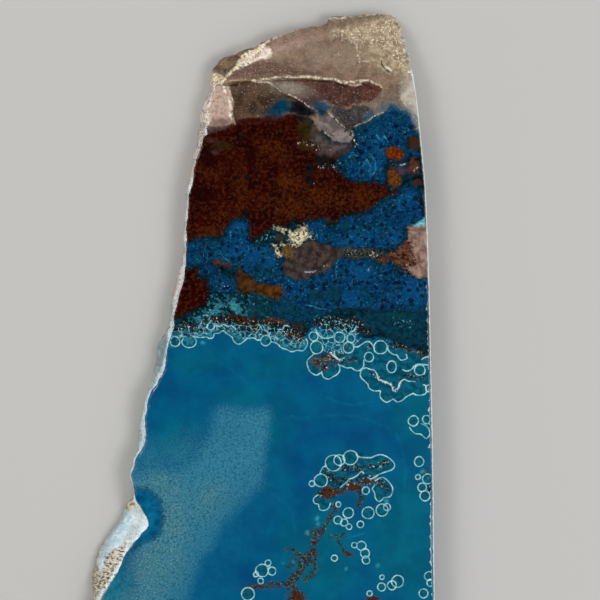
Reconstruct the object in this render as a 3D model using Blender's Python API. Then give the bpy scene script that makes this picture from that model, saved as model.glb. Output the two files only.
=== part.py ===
"""Shattuckite slice, lying on its back: a sawn slab of blue copper silicates and iron-stained jasper under a quartz cap.

The slab is one stone. Both broad faces are sawn flat. Its right side and its lower end are sawn too, its left side
keeps the natural rind, which slopes outward to the back, and its upper end is broken quartz.

Frame: metres, +Z up. The origin is the middle of the back face's box. +X is the sawn side, +Y the quartz end.
Every size below is in millimetres.
"""

import bmesh
import bpy
from mathutils import Vector, noise

MM = 0.001

# Driving sizes of the slab
THICKNESS = 7.0
SAW_CHAMFER = 0.5
LOWER_ROWS = 3
UPPER_ROWS = 3

# How each kind of edge runs from the back face up to the front face: how far its shoulder lies from the back edge
# towards the face edge, how high the shoulder is, how rough the side is, how jagged its two rims are, and how far
# apart its columns of points stand.
SAWN = {"share": 0.0, "height": THICKNESS - SAW_CHAMFER, "rough": 0.0, "jag": 0.0, "step": 5.0}
RIND = {"share": 0.5, "height": 4.9, "rough": 0.75, "jag": 0.38, "step": 0.75}
THIN_RIND = {"share": 0.55, "height": 5.0, "rough": 0.42, "jag": 0.3, "step": 0.75}
BROKEN = {"share": 0.3, "height": 3.0, "rough": 0.4, "jag": 0.3, "step": 0.8}

# The outline, clockwise as seen from the front: face edge x, y, then back edge x, y
QUARTZ_END = [
    (-10.3, 49.6, -12.0, 50.2),
    (-10.0, 52.0, -11.9, 52.4),
    (-9.9, 54.5, -11.1, 55.0),
    (-9.0, 57.2, -10.0, 57.6),
    (-8.7, 60.0, -9.7, 60.2),
    (-8.1, 61.8, -9.1, 62.2),
    (-6.8, 63.3, -7.6, 63.8),
    (-4.7, 64.5, -5.2, 65.0),
    (-2.6, 65.2, -3.0, 65.7),
    (-0.6, 65.7, -0.8, 66.1),
    (1.3, 67.1, 1.2, 67.6),
    (3.4, 67.9, 3.2, 68.3),
    (6.2, 68.7, 6.1, 69.1),
    (8.4, 69.7, 8.3, 70.1),
    (11.6, 70.1, 11.6, 70.5),
    (13.9, 70.8, 13.7, 71.2),
    (14.9, 71.9, 14.5, 72.3),
    (18.0, 72.1, 18.0, 72.5),
    (22.0, 72.4, 22.0, 72.8),
    (25.6, 72.5, 25.8, 73.0),
    (26.9, 71.9, 27.4, 72.2),
]
SAWN_SIDE = [
    (28.2, 69.8, 28.7, 69.9),
    (29.3, 66.0, 29.8, 66.1),
    (30.3, 61.5, 30.8, 61.6),
    (31.0, 57.5, 31.5, 57.6),
    (31.6, 53.0, 32.1, 53.0),
    (32.3, 46.0, 32.8, 46.0),
    (33.0, 38.0, 33.5, 38.0),
    (33.4, 30.0, 33.9, 30.0),
    (33.8, 18.0, 34.3, 18.0),
    (34.1, 4.0, 34.6, 4.0),
    (34.5, -14.0, 35.0, -14.0),
    (34.7, -32.0, 35.2, -32.0),
    (34.9, -50.0, 35.4, -50.0),
    (35.0, -64.0, 35.5, -64.0),
    (34.8, -69.6, 35.3, -69.8),
    (33.8, -71.6, 34.2, -72.1),
]
SAWN_END = [
    (31.6, -72.5, 31.8, -73.0),
    (15.0, -72.5, 15.0, -73.0),
    (-5.0, -72.5, -5.0, -73.0),
    (-20.0, -72.5, -20.0, -73.0),
    (-26.6, -72.4, -27.0, -73.0),
]
LOWER_RIND = [
    (-30.4, -70.4, -31.2, -71.4),
    (-32.5, -67.2, -33.9, -67.8),
    (-33.7, -63.0, -35.1, -63.2),
    (-33.9, -58.0, -35.5, -58.0),
    (-33.4, -53.0, -35.1, -52.6),
    (-32.5, -48.0, -34.4, -47.6),
    (-31.2, -44.0, -33.7, -43.8),
    (-29.3, -41.0, -33.4, -41.2),
    (-28.0, -39.0, -33.4, -38.8),
    (-26.7, -36.0, -32.6, -36.2),
    (-25.5, -34.0, -31.5, -33.8),
    (-23.8, -31.9, -30.2, -31.3),
    (-22.1, -29.7, -28.6, -29.7),
    (-22.3, -28.0, -27.8, -28.2),
    (-23.2, -26.4, -26.9, -26.5),
]
LEFT_EDGE = [
    (-24.2, -25.2, -25.8, -25.1),
    (-24.6, -24.0, -24.9, -24.1),
    (-25.0, -21.9, -25.4, -21.9),
    (-25.3, -20.0, -25.8, -20.0),
    (-24.8, -17.2, -25.2, -17.4),
    (-24.0, -15.6, -24.5, -15.7),
    (-22.9, -13.8, -24.1, -13.9),
    (-22.5, -11.5, -24.2, -11.8),
    (-22.6, -9.2, -23.7, -9.4),
    (-22.2, -6.0, -23.0, -6.0),
    (-21.6, -3.4, -22.4, -3.2),
    (-20.3, -1.4, -21.8, -1.2),
    (-19.3, 0.6, -21.4, 0.4),
    (-18.4, 3.2, -20.8, 2.8),
    (-18.0, 6.2, -20.2, 5.8),
    (-17.3, 8.6, -19.3, 8.2),
    (-16.8, 10.8, -18.0, 10.6),
    (-16.7, 12.6, -17.7, 12.6),
    (-16.0, 15.4, -17.5, 15.4),
    (-15.2, 18.0, -16.9, 18.0),
    (-14.8, 20.6, -16.4, 20.4),
    (-14.6, 23.0, -15.3, 23.0),
    (-14.4, 26.5, -14.9, 26.5),
    (-14.2, 31.0, -14.8, 31.0),
    (-13.9, 35.0, -14.5, 35.0),
    (-13.2, 39.5, -13.8, 39.5),
    (-12.3, 43.4, -13.1, 43.4),
    (-11.3, 46.8, -12.5, 46.8),
]
OUTLINE = (
    [(*row, BROKEN) for row in QUARTZ_END]
    + [(*row, SAWN) for row in SAWN_SIDE + SAWN_END]
    + [(*row, RIND) for row in LOWER_RIND]
    + [(*row, THIN_RIND) for row in LEFT_EDGE]
)

# The broken quartz. Each break is a surface given as rows of points x, y, z, and all the stone above it is gone.
# A row that lies a little above the face lets the break run out there in a clean line.
BREAK_SPACING = 1.35
BREAK_TOP = 9.5
BREAKS = {
    # the broad break behind the ledge, falling away to the upper rim
    "cap_break": {
        "rough": 0.16,
        "rows": [
            [(-13.0, 59.2, 7.1), (-6.4, 59.6, 7.1), (-2.0, 59.6, 7.1), (1.5, 60.1, 7.1), (8.0, 60.2, 7.1),
             (13.0, 60.0, 7.1), (16.0, 59.7, 7.1), (18.2, 58.8, 7.1), (20.8, 59.6, 7.1), (22.8, 58.9, 7.1),
             (24.9, 58.2, 7.1), (28.6, 59.6, 7.1), (36.0, 60.3, 7.1)],
            [(-13.5, 60.4, 6.5), (-6.4, 60.6, 6.6), (-1.8, 60.6, 6.6), (1.6, 61.0, 6.5), (8.0, 61.2, 6.4),
             (13.0, 61.0, 6.3), (16.0, 60.7, 6.3), (18.3, 60.0, 6.3), (20.8, 60.7, 6.3), (22.9, 60.1, 6.4),
             (25.0, 59.8, 6.5), (28.7, 60.9, 6.4), (36.4, 61.6, 6.2)],
            [(-14.0, 66.0, 5.4), (-6.6, 66.0, 5.5), (-1.0, 65.6, 5.6), (2.6, 65.4, 5.6), (8.4, 65.4, 5.5),
             (13.0, 65.6, 5.2), (16.0, 65.8, 5.05), (18.6, 66.0, 5.05), (20.4, 66.2, 5.2), (23.0, 66.0, 5.2),
             (25.6, 65.8, 5.0), (29.4, 66.0, 4.7), (37.0, 66.6, 4.2)],
            [(-14.0, 76.0, 3.2), (-6.0, 76.0, 3.4), (-1.0, 76.0, 3.4), (3.0, 76.0, 3.4), (8.6, 76.0, 3.3),
             (13.0, 76.0, 3.3), (16.0, 76.0, 3.4), (18.8, 76.0, 3.4), (21.0, 76.0, 3.3), (23.6, 76.0, 3.3),
             (26.4, 76.0, 3.0), (30.2, 76.0, 2.8), (37.4, 76.0, 2.4)],
        ],
    },
    # the steep bright crest above the left corner and the low brown knob outside it
    "crest_break": {
        "rough": 0.2,
        "rows": [
            [(-8.3, 57.9, 7.4), (-6.7, 59.4, 7.3), (-5.5, 60.5, 7.2), (-4.2, 61.6, 7.0), (-2.2, 62.3, 6.9),
             (0.0, 63.3, 6.7), (2.1, 63.9, 6.4), (3.4, 65.4, 6.0), (3.6, 69.6, 5.2)],
            [(-9.0, 58.6, 5.3), (-7.2, 59.9, 5.0), (-6.3, 61.0, 4.8), (-5.0, 62.9, 4.6), (-3.4, 64.1, 4.6),
             (-1.7, 65.3, 4.6), (0.2, 66.6, 4.6), (1.2, 68.4, 4.4), (1.4, 70.6, 4.2)],
            [(-13.5, 60.4, 4.4), (-11.6, 63.2, 4.3), (-9.6, 65.2, 4.2), (-7.0, 67.0, 4.0), (-5.0, 68.4, 3.9),
             (-3.0, 69.2, 3.8), (-1.4, 70.2, 3.7), (-0.4, 71.4, 3.6), (0.0, 72.6, 3.5)],
        ],
    },
    # the frosted facet of the left corner, with the bright band along the rim
    "corner_break": {
        "rough": 0.1,
        "rows": [
            [(-4.2, 47.6, 7.25), (-4.7, 50.4, 7.05), (-5.0, 52.5, 7.05), (-5.2, 55.0, 7.05), (-5.2, 57.8, 7.05),
             (-7.0, 58.9, 7.05), (-8.6, 60.0, 7.05)],
            [(-9.2, 47.8, 7.2), (-9.4, 50.4, 6.6), (-9.6, 52.4, 6.35), (-9.4, 54.4, 6.2), (-8.6, 56.4, 6.2),
             (-8.7, 58.6, 6.0), (-9.1, 60.2, 5.8)],
            [(-15.0, 47.4, 6.9), (-14.8, 50.2, 5.0), (-14.4, 52.8, 4.2), (-13.8, 55.4, 3.9), (-13.0, 58.0, 3.8),
             (-12.4, 60.4, 3.8), (-12.2, 62.6, 3.8)],
        ],
    },
    # the curved chip between the whitish ledge and the long oblique chip line
    "ledge_chip": {
        "rough": 0.07,
        "rows": [
            [(-1.4, 59.1, 7.1), (1.5, 59.5, 7.1), (4.5, 59.6, 7.1), (8.0, 59.6, 7.1), (12.0, 59.5, 7.1),
             (15.2, 59.3, 7.1), (17.7, 58.3, 7.1), (20.6, 59.0, 7.1), (22.8, 58.3, 7.1), (24.7, 57.5, 7.1),
             (25.5, 56.8, 7.1)],
            [(-1.4, 59.0, 7.1), (1.6, 59.25, 6.8), (4.6, 59.3, 6.6), (8.0, 59.25, 6.5), (12.0, 59.15, 6.4),
             (15.1, 58.95, 6.35), (17.7, 57.95, 6.3), (20.5, 58.6, 6.3), (22.6, 57.95, 6.4), (24.4, 57.2, 6.6),
             (25.4, 56.7, 7.1)],
            [(-1.3, 58.9, 7.1), (1.7, 58.9, 6.85), (4.8, 58.1, 6.5), (8.1, 57.2, 6.35), (11.6, 56.2, 6.3),
             (15.0, 54.6, 6.45), (18.0, 54.4, 6.5), (20.4, 54.9, 6.5), (23.0, 55.3, 6.6), (24.6, 56.1, 6.85),
             (25.4, 56.5, 7.1)],
            [(-1.2, 58.8, 7.1), (2.6, 58.3, 7.1), (4.9, 56.8, 7.1), (8.1, 55.6, 7.1), (11.2, 53.8, 7.1),
             (14.8, 52.2, 7.1), (18.2, 49.5, 7.1), (20.7, 50.6, 7.1), (23.5, 52.9, 7.1), (25.2, 54.6, 7.1),
             (25.8, 56.0, 7.1)],
        ],
    },
    # the steeper strip along the topmost rim
    "rim_break": {
        "rough": 0.12,
        "rows": [
            [(13.0, 71.0, 6.0), (15.3, 70.9, 4.9), (17.0, 70.3, 4.7), (18.6, 70.4, 4.7), (20.0, 70.8, 4.6),
             (22.2, 71.5, 4.6), (25.4, 72.4, 5.0)],
            [(13.2, 74.8, 3.2), (15.4, 74.8, 1.9), (17.2, 74.8, 1.7), (18.8, 74.8, 1.7), (20.4, 74.9, 1.8),
             (22.6, 75.0, 2.2), (25.6, 75.4, 3.4)],
        ],
    },
}


def clear_scene():
    for item in list(bpy.data.objects):
        bpy.data.objects.remove(item)


def stone_material():
    """Polished blue copper silicate, the colour of most of the face."""
    material = bpy.data.materials.new("polished_shattuckite")
    material.use_nodes = True
    shader = material.node_tree.nodes["Principled BSDF"]
    shader.inputs["Base Color"].default_value = (0.010, 0.120, 0.230, 1.0)
    shader.inputs["Roughness"].default_value = 0.2
    shader.inputs["Metallic"].default_value = 0.0
    return material


def curve_through(before, start, end, after, share):
    """A point of the smooth curve from start to end, which also heads past its neighbours."""
    squared = share * share
    cubed = squared * share
    return 0.5 * (
        2.0 * start
        + (end - before) * share
        + (2.0 * before - 5.0 * start + 4.0 * end - after) * squared
        + (3.0 * start - before - 3.0 * end + after) * cubed
    )


def wander(place, reach, seed):
    """Smooth natural variation between about -1 and 1, with features of the given reach."""
    return noise.fractal((place + Vector((seed, -seed, 2.0 * seed))) / reach, 0.9, 2.1, 3)


def jagged(flat, outward, amount, seed):
    """A point of a rim, moved in or out a little."""
    place = Vector((flat.x, flat.y, 0.0))
    return flat + outward * (amount * wander(place, 1.9, seed))


def edge_columns():
    """The outline as close columns: face edge, shoulder and back edge, each a point, and the roughness."""
    columns = []
    count = len(OUTLINE)
    for index in range(count):
        rows = [OUTLINE[(index + shift) % count] for shift in (-1, 0, 1, 2)]
        faces = [Vector(row[0:2]) for row in rows]
        backs = [Vector(row[2:4]) for row in rows]
        here, there = rows[1][4], rows[2][4]
        steps = max(1, round((backs[2] - backs[1]).length / min(here["step"], there["step"])))
        for step in range(steps):
            share = step / steps
            face = curve_through(*faces, share)
            back = curve_through(*backs, share)
            kind = {name: here[name] + (there[name] - here[name]) * share for name in here}
            outward = (back - face).normalized()
            face = jagged(face, outward, kind["jag"], 3.0)
            back = jagged(back, outward, kind["jag"], 9.0)
            shoulder = back.lerp(face, kind["share"])
            columns.append((face, (shoulder, kind["height"]), back, kind["rough"]))
    return centred(columns)


def centred(columns):
    """The same columns with the middle of the back's box exactly on the origin."""
    across = [column[2].x for column in columns]
    along = [column[2].y for column in columns]
    middle = Vector(((max(across) + min(across)) / 2.0, (max(along) + min(along)) / 2.0))
    return [
        (face - middle, (shoulder - middle, height), back - middle, rough)
        for face, (shoulder, height), back, rough in columns
    ]


def section_points(face, shoulder, back, rough):
    """One column of the side, from the back face up to the front face, with the rock's own roughness."""
    outward = (back - face).normalized()
    points = []
    shoulder_flat, shoulder_height = shoulder
    for row in range(LOWER_ROWS):
        share = row / LOWER_ROWS
        points.append((back.lerp(shoulder_flat, share * share), shoulder_height * share))
    for row in range(UPPER_ROWS + 1):
        share = row / UPPER_ROWS
        height = shoulder_height + (THICKNESS - shoulder_height) * share
        points.append((shoulder_flat.lerp(face, share), height))
    made = []
    last = len(points) - 1
    for row, (flat, height) in enumerate(points):
        place = Vector((flat.x, flat.y, height))
        amount = rough * wander(place, 2.6, 7.0) if 0 < row < last else 0.0
        made.append(place + Vector((outward.x, outward.y, 0.0)) * amount)
    return made


def build_blank(material):
    """The slab before its quartz end was broken: a loft round the outline, closed by two flat faces."""
    mesh = bpy.data.meshes.new("slice")
    blank = bmesh.new()
    columns = [
        [blank.verts.new(point * MM) for point in section_points(*column)] for column in edge_columns()
    ]
    rows = len(columns[0])
    for index, column in enumerate(columns):
        following = columns[(index + 1) % len(columns)]
        for row in range(rows - 1):
            blank.faces.new((column[row], following[row], following[row + 1], column[row + 1]))
    blank.faces.new([column[0] for column in columns])
    blank.faces.new([column[-1] for column in columns])
    bmesh.ops.recalc_face_normals(blank, faces=blank.faces)
    blank.to_mesh(mesh)
    blank.free()
    mesh.materials.append(material)
    return bpy.data.objects.new("slice", mesh)


def between(first, second, parts):
    """The points from the first up to, but without, the second."""
    return [first.lerp(second, part / parts) for part in range(parts)]


def filled_row(row, parts):
    """A row of a break with the points between its given ones."""
    points = [Vector(point) for point in row]
    made = []
    for index, count in enumerate(parts):
        made += between(points[index], points[index + 1], count)
    return made + [points[-1]]


def break_points(rows):
    """All points of a break, row by row, spaced evenly along its first row and across."""
    lead = [Vector(point) for point in rows[0]]
    parts = [max(1, round((lead[i + 1] - lead[i]).length / BREAK_SPACING)) for i in range(len(lead) - 1)]
    filled = [filled_row(row, parts) for row in rows]
    made = []
    for first, second in zip(filled, filled[1:]):
        gap = sum((b - a).length for a, b in zip(first, second)) / len(first)
        count = max(1, round(gap / BREAK_SPACING))
        for part in range(count):
            made.append([a.lerp(b, part / count) for a, b in zip(first, second)])
    return made + [filled[-1]]


def break_cutter(name, surface, seed, folder):
    """A block whose rough underside is the broken surface. It stands for all the stone that broke away."""
    mesh = bpy.data.meshes.new(name)
    block = bmesh.new()
    lines = []
    for line in break_points(surface["rows"]):
        corners = []
        for place in line:
            lift = surface["rough"] * wander(place, 3.0, seed)
            aside = noise.noise_vector(place * 1.7) * (0.3 * BREAK_SPACING)
            corners.append(block.verts.new((place.x + 0.5 * aside.x, place.y + 0.5 * aside.y, place.z + lift)))
        lines.append(corners)
    for row, (lower, upper) in enumerate(zip(lines, lines[1:])):
        for column in range(len(lower) - 1):
            corners = [lower[column], lower[column + 1], upper[column + 1], upper[column]]
            if (row + column) % 2:
                corners = corners[1:] + corners[:1]
            block.faces.new((corners[0], corners[1], corners[2]))
            block.faces.new((corners[0], corners[2], corners[3]))
    grown = bmesh.ops.extrude_face_region(block, geom=block.faces[:])
    for corner in grown["geom"]:
        if isinstance(corner, bmesh.types.BMVert):
            corner.co.z = BREAK_TOP
    bmesh.ops.recalc_face_normals(block, faces=block.faces)
    for corner in block.verts:
        corner.co = corner.co * MM
    block.to_mesh(mesh)
    block.free()
    made = bpy.data.objects.new(name, mesh)
    made.hide_render = True
    made.display_type = "WIRE"
    folder.objects.link(made)
    return made


def break_off(stone, cutter):
    cut = stone.modifiers.new(cutter.name, "BOOLEAN")
    cut.operation = "DIFFERENCE"
    cut.solver = "EXACT"
    cut.object = cutter


def main():
    clear_scene()
    stones = bpy.data.collections.new("shattuckite_slice")
    cutters = bpy.data.collections.new("cutters")
    for folder in (stones, cutters):
        bpy.context.scene.collection.children.link(folder)
    slab = build_blank(stone_material())
    stones.objects.link(slab)
    for seed, (name, surface) in enumerate(BREAKS.items(), start=1):
        break_off(slab, break_cutter(name, surface, 11.0 * seed, cutters))
    print(f"slice: {len(edge_columns())} columns round its outline")


main()
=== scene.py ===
# %% [markdown]
# # A polished slice of shattuckite
#
# The real thing is a slab sawn from a vein where copper water ran through broken quartz. Blue shattuckite and
# chrysocolla grew in soft balls, silica froze them into chalcedony, and iron stained the rest the colour
# of rust. The saw left two flat faces and one straight side. The other side kept its natural rind, and the
# quartz end broke.
#
# The solid is ready in the frame. This lesson gives it a fine surface, draws its markings as named shapes in
# millimetres, and mixes its stone from patterns of the right size.

# %% The frame, and the box that the slab may not leave
import math

import bmesh
import bpy
import numpy as np
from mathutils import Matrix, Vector, geometry


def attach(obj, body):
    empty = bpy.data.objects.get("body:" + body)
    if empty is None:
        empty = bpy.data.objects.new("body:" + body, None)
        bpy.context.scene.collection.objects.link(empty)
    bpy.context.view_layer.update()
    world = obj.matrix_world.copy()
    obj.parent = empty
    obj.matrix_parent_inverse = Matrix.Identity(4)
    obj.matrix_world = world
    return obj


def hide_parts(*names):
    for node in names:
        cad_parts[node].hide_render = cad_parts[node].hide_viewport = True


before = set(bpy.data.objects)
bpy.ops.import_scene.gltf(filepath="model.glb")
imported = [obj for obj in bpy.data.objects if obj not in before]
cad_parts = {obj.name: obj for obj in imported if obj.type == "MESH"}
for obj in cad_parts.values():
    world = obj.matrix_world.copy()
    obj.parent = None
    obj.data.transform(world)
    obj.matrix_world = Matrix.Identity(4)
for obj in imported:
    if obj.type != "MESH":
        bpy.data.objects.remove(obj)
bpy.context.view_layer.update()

MM = 0.001
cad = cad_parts["slice"]
print("the slab's solid has", len(cad.data.polygons), "faces")

# %% [markdown]
# ## Where we look from
#
# A slab can't stand by itself, so it lies on its sawn back and the camera looks straight down on it. A
# long lens from 600 mm away keeps the outline true. The picture is 120 mm wide at the polished face.

# %% The camera above the slab
FACE_HEIGHT = 7.0
VIEW_MIDDLE = (8.4, 15.4)
VIEW_WIDTH = 120.0
VIEW_HEIGHT = 600.0

camera = bpy.data.objects.new("camera", bpy.data.cameras.new("camera"))
camera.data.sensor_width = 36.0
camera.data.lens = 36.0 * VIEW_HEIGHT / VIEW_WIDTH
camera.data.clip_start = 0.01
camera.location = Vector((*VIEW_MIDDLE, FACE_HEIGHT + VIEW_HEIGHT)) * MM
bpy.context.scene.collection.objects.link(camera)
bpy.context.scene.camera = camera
bpy.context.scene.view_settings.view_transform = "Standard"
print("the lens is", round(camera.data.lens), "mm")

# %% [markdown]
# ## Light
#
# The rind and the quartz crest shine on the left, so the first light stands there. A second, somewhat
# stronger light on the far side keeps the slab's shadow soft. A polished face mirrors what is straight above
# it, and a bright sky there would lay a grey veil over the dark stone. So the surroundings grow brighter
# from the horizon upwards, and are dark within about twenty degrees of straight overhead.

# %% Two soft lights
LIGHT_AIM = (5.0, 10.0, 5.0)


def soft_light(name, place, size, power, colour):
    lamp = bpy.data.lights.new(name, "AREA")
    lamp.size = size * MM
    lamp.energy = power
    lamp.color = colour
    made = bpy.data.objects.new(name, lamp)
    made.location = Vector(place) * MM
    made.rotation_euler = (Vector(LIGHT_AIM) * MM - made.location).to_track_quat("-Z", "Y").to_euler()
    bpy.context.scene.collection.objects.link(made)


soft_light("main_light", (-340.0, 300.0, 500.0), 240.0, 1.05, (1.0, 0.98, 0.95))
soft_light("far_light", (290.0, -80.0, 580.0), 220.0, 1.42, (0.98, 0.99, 1.0))
print("two soft lights stand about 660 mm from the slab")


# %% Surroundings that are dark overhead
def add_node(tree, kind, inputs=None, out=0, **settings):
    """Adds one node, sets it and links it, and gives the output that is asked for."""
    made = tree.nodes.new("ShaderNode" + kind)
    for name, value in settings.items():
        setattr(made, name, value)
    for socket, value in (inputs or {}).items():
        if isinstance(value, bpy.types.NodeSocket):
            tree.links.new(value, made.inputs[socket])
        else:
            made.inputs[socket].default_value = value
    return made.outputs[out]


world = bpy.data.worlds.new("studio")
bpy.context.scene.world = world
world.use_nodes = True
upward = add_node(world.node_tree, "SeparateXYZ", {0: add_node(world.node_tree, "TexCoord")}, out=2)
LOW_GLOW, HIGH_GLOW, OVERHEAD_SHARE = 0.24, 0.95, 0.02
rise = add_node(world.node_tree, "MapRange", {0: upward, 1: -0.1, 2: 0.85, 3: LOW_GLOW, 4: HIGH_GLOW})
fall = add_node(world.node_tree, "MapRange", {0: upward, 1: 0.88, 2: 0.95, 3: 1.0, 4: OVERHEAD_SHARE},
                interpolation_type="SMOOTHSTEP")
glow = add_node(world.node_tree, "Math", {0: rise, 1: fall}, operation="MULTIPLY")
background = world.node_tree.nodes["Background"]
background.inputs["Color"].default_value = (0.97, 0.985, 1.0, 1.0)
world.node_tree.links.new(glow, background.inputs["Strength"])
print("the surroundings rise from", LOW_GLOW, "below the horizon to", HIGH_GLOW, "high up")

# %% [markdown]
# ## A fine skin over the solid
#
# The solid has the right outline and the right breaks, but its faces are a millimetre or more wide. A real
# broken edge is rough at every size. So the rough faces are cut finer and pushed in and out by noise, and
# the two flat faces are filled again with small triangles that can carry the markings.

# %% A copy of the solid without its flat faces
FLATNESS = 0.003

skin = bmesh.new()
skin.from_mesh(cad.data)
bmesh.ops.remove_doubles(skin, verts=skin.verts, dist=0.002 * MM)


def lies_at(face, height):
    return all(abs(corner.co.z - height * MM) < FLATNESS * MM for corner in face.verts)


flat = [face for face in skin.faces if lies_at(face, 0.0) or lies_at(face, FACE_HEIGHT)]
bmesh.ops.delete(skin, geom=flat, context="FACES")
print("flat faces taken out:", len(flat), "and rough ones left:", len(skin.faces))

# %% Cutting the rough faces finer
# The sawn side as rows of y and x, the y where it stops, and the y of the sawn lower end.
SAWN_SIDE = [(-73.0, 33.4), (-50.0, 34.4), (0.0, 33.7), (30.0, 32.8), (53.0, 31.0), (61.5, 29.6),
             (70.0, 27.4)]
SAWN_STOP = 69.6
SAWN_END = -72.3
FINE_EDGE = 0.5
COARSE_EDGE = 1.8
TOO_LONG = 1.35
MOST_ROUNDS = 7


def is_sawn(x, y):
    """Whether a place on the rim belongs to the straight sawn side or the sawn lower end."""
    edge = np.interp(y, [row[0] for row in SAWN_SIDE], [row[1] for row in SAWN_SIDE])
    return (x > edge) & (y < SAWN_STOP) | (y < SAWN_END)


def wanted_length(place):
    return COARSE_EDGE if is_sawn(place.x / MM, place.y / MM) else FINE_EDGE


for round_number in range(MOST_ROUNDS):
    long_edges = []
    for edge in skin.edges:
        middle = (edge.verts[0].co + edge.verts[1].co) / 2.0
        if edge.calc_length() > TOO_LONG * wanted_length(middle) * MM:
            long_edges.append(edge)
    if not long_edges:
        break
    bmesh.ops.subdivide_edges(skin, edges=long_edges, cuts=1)
    bmesh.ops.triangulate(skin, faces=[face for face in skin.faces if len(face.verts) > 3])
print("after", round_number, "rounds the rough skin has", len(skin.faces), "faces")

# %% [markdown]
# ## Noise for stone
#
# One kind of noise does most of the work: random values on a grid, blended smoothly between its corners.
# Its size is given in millimetres, so a lump is as large as the lump on the real stone.

# %% Smooth noise at a size in millimetres
def grid_values(cells, seed):
    mixed = cells @ np.array([127.1, 311.7, 74.7]) + 19.19 * seed
    return np.modf(np.abs(np.sin(mixed) * 43758.5453))[0] * 2.0 - 1.0


def stone_noise(points, size, seed):
    """Values between -1 and 1 at points in millimetres, with lumps of the given size."""
    scaled = points / size
    cells = np.floor(scaled)
    inside = scaled - cells
    inside = inside * inside * (3.0 - 2.0 * inside)
    total = np.zeros(len(points))
    for corner in range(8):
        step = np.array([corner & 1, corner >> 1 & 1, corner >> 2 & 1], dtype=float)
        weight = np.prod(np.where(step > 0.5, inside, 1.0 - inside), axis=1)
        total += weight * grid_values(cells + step, seed)
    return total


def layered_noise(points, size, seed):
    return sum(stone_noise(points, size / 2**level, seed + level) / 1.8**level for level in range(3))


# %% Roughening the rind and the broken quartz
places = np.array([corner.co for corner in skin.verts]) / MM
skin.normal_update()
normals = np.array([corner.normal for corner in skin.verts])
QUARTZ_LIFT, RIND_LIFT, SAWN_LIFT = 0.13, 0.26, 0.02
lift = np.where(places[:, 1] > 49.5, QUARTZ_LIFT, RIND_LIFT)
lift = np.where(is_sawn(places[:, 0], places[:, 1]), SAWN_LIFT, lift)
inside_flats = np.clip(np.minimum((FACE_HEIGHT - places[:, 2]) / 0.5, places[:, 2] / 0.6), 0.0, 1.0)
bumps = 0.7 * layered_noise(places, 1.6, 3) + 0.5 * stone_noise(places, 0.55, 8)
shift = normals * (lift * inside_flats * bumps)[:, None]
for corner, move in zip(skin.verts, shift):
    corner.co += Vector(move) * MM
print("the rough skin moves by up to", round(float(np.abs(shift).max()), 2), "mm")

# %% [markdown]
# ## Filling the two flat faces
#
# A flat face with a winding edge is best filled by a triangulation that keeps the edge as it is. The
# points inside stand closest together where the stone is finely banded, because each of them will hold the
# distance to the nearest marking, and a thin ring needs a few of them across its width.

# %% How close together the points of the face stand
SPACINGS = [(0.22, [(-18.0, 4.6, 36.0, 10.8), (9.0, -5.8, 36.0, 10.8), (29.4, -13.2, 36.0, -7.0),
                    (9.4, -37.4, 28.2, -14.4), (-3.8, -46.0, 4.4, -36.0), (21.4, -45.0, 29.6, -39.2),
                    (30.6, -25.4, 36.0, -15.4), (31.6, -44.8, 36.0, -38.2)]),
            (0.37, [(-26.0, 10.0, 36.0, 73.5)]), (0.75, [(-36.0, -74.0, 36.0, 10.8)])]


def face_points(rows):
    """Points in staggered rows over the slab, as close together as each zone asks."""
    made, taken = [], []
    for step, boxes in rows:
        down, across = np.mgrid[-73.0 : 73.0 : step * 0.87, -36.0 : 36.0 : step]
        across = across + (np.arange(len(down)) % 2)[:, None] * step / 2.0
        x, y = across.ravel(), down.ravel()
        within = [np.any([(x > a) & (x < c) & (y > b) & (y < d) for a, b, c, d in zone],
                         axis=0) for zone in (boxes, taken)]
        made.append(np.stack([x, y], axis=1)[within[0] & ~within[1]])
        taken = taken + boxes
    return np.concatenate(made)


# %% Which points lie inside the rim
def rim_edges(height):
    """The open edges of the skin at one height."""
    return [edge for edge in skin.edges
            if len(edge.link_faces) == 1 and abs(edge.verts[0].co.z - height * MM) < FLATNESS * MM]


def inside_and_clear(points, starts, ends, clearance):
    """Which points lie inside the rim and not too close to it."""
    kept = np.zeros(len(points), dtype=bool)
    slope = (ends[:, 0] - starts[:, 0]) / np.where(ends[:, 1] == starts[:, 1], 1e-9,
                                                   ends[:, 1] - starts[:, 1])
    for first in range(0, len(points), 4000):
        part = points[first : first + 4000, None, :]
        x, y = part[:, :, 0], part[:, :, 1]
        crosses = (starts[:, 1] > y) != (ends[:, 1] > y)
        odd = (crosses & (x < starts[:, 0] + (y - starts[:, 1]) * slope)).sum(axis=1) % 2 == 1
        near = ((x - starts[:, 0]) ** 2 + (y - starts[:, 1]) ** 2).min(axis=1) < clearance**2
        kept[first : first + 4000] = odd & ~near
    return kept


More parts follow.
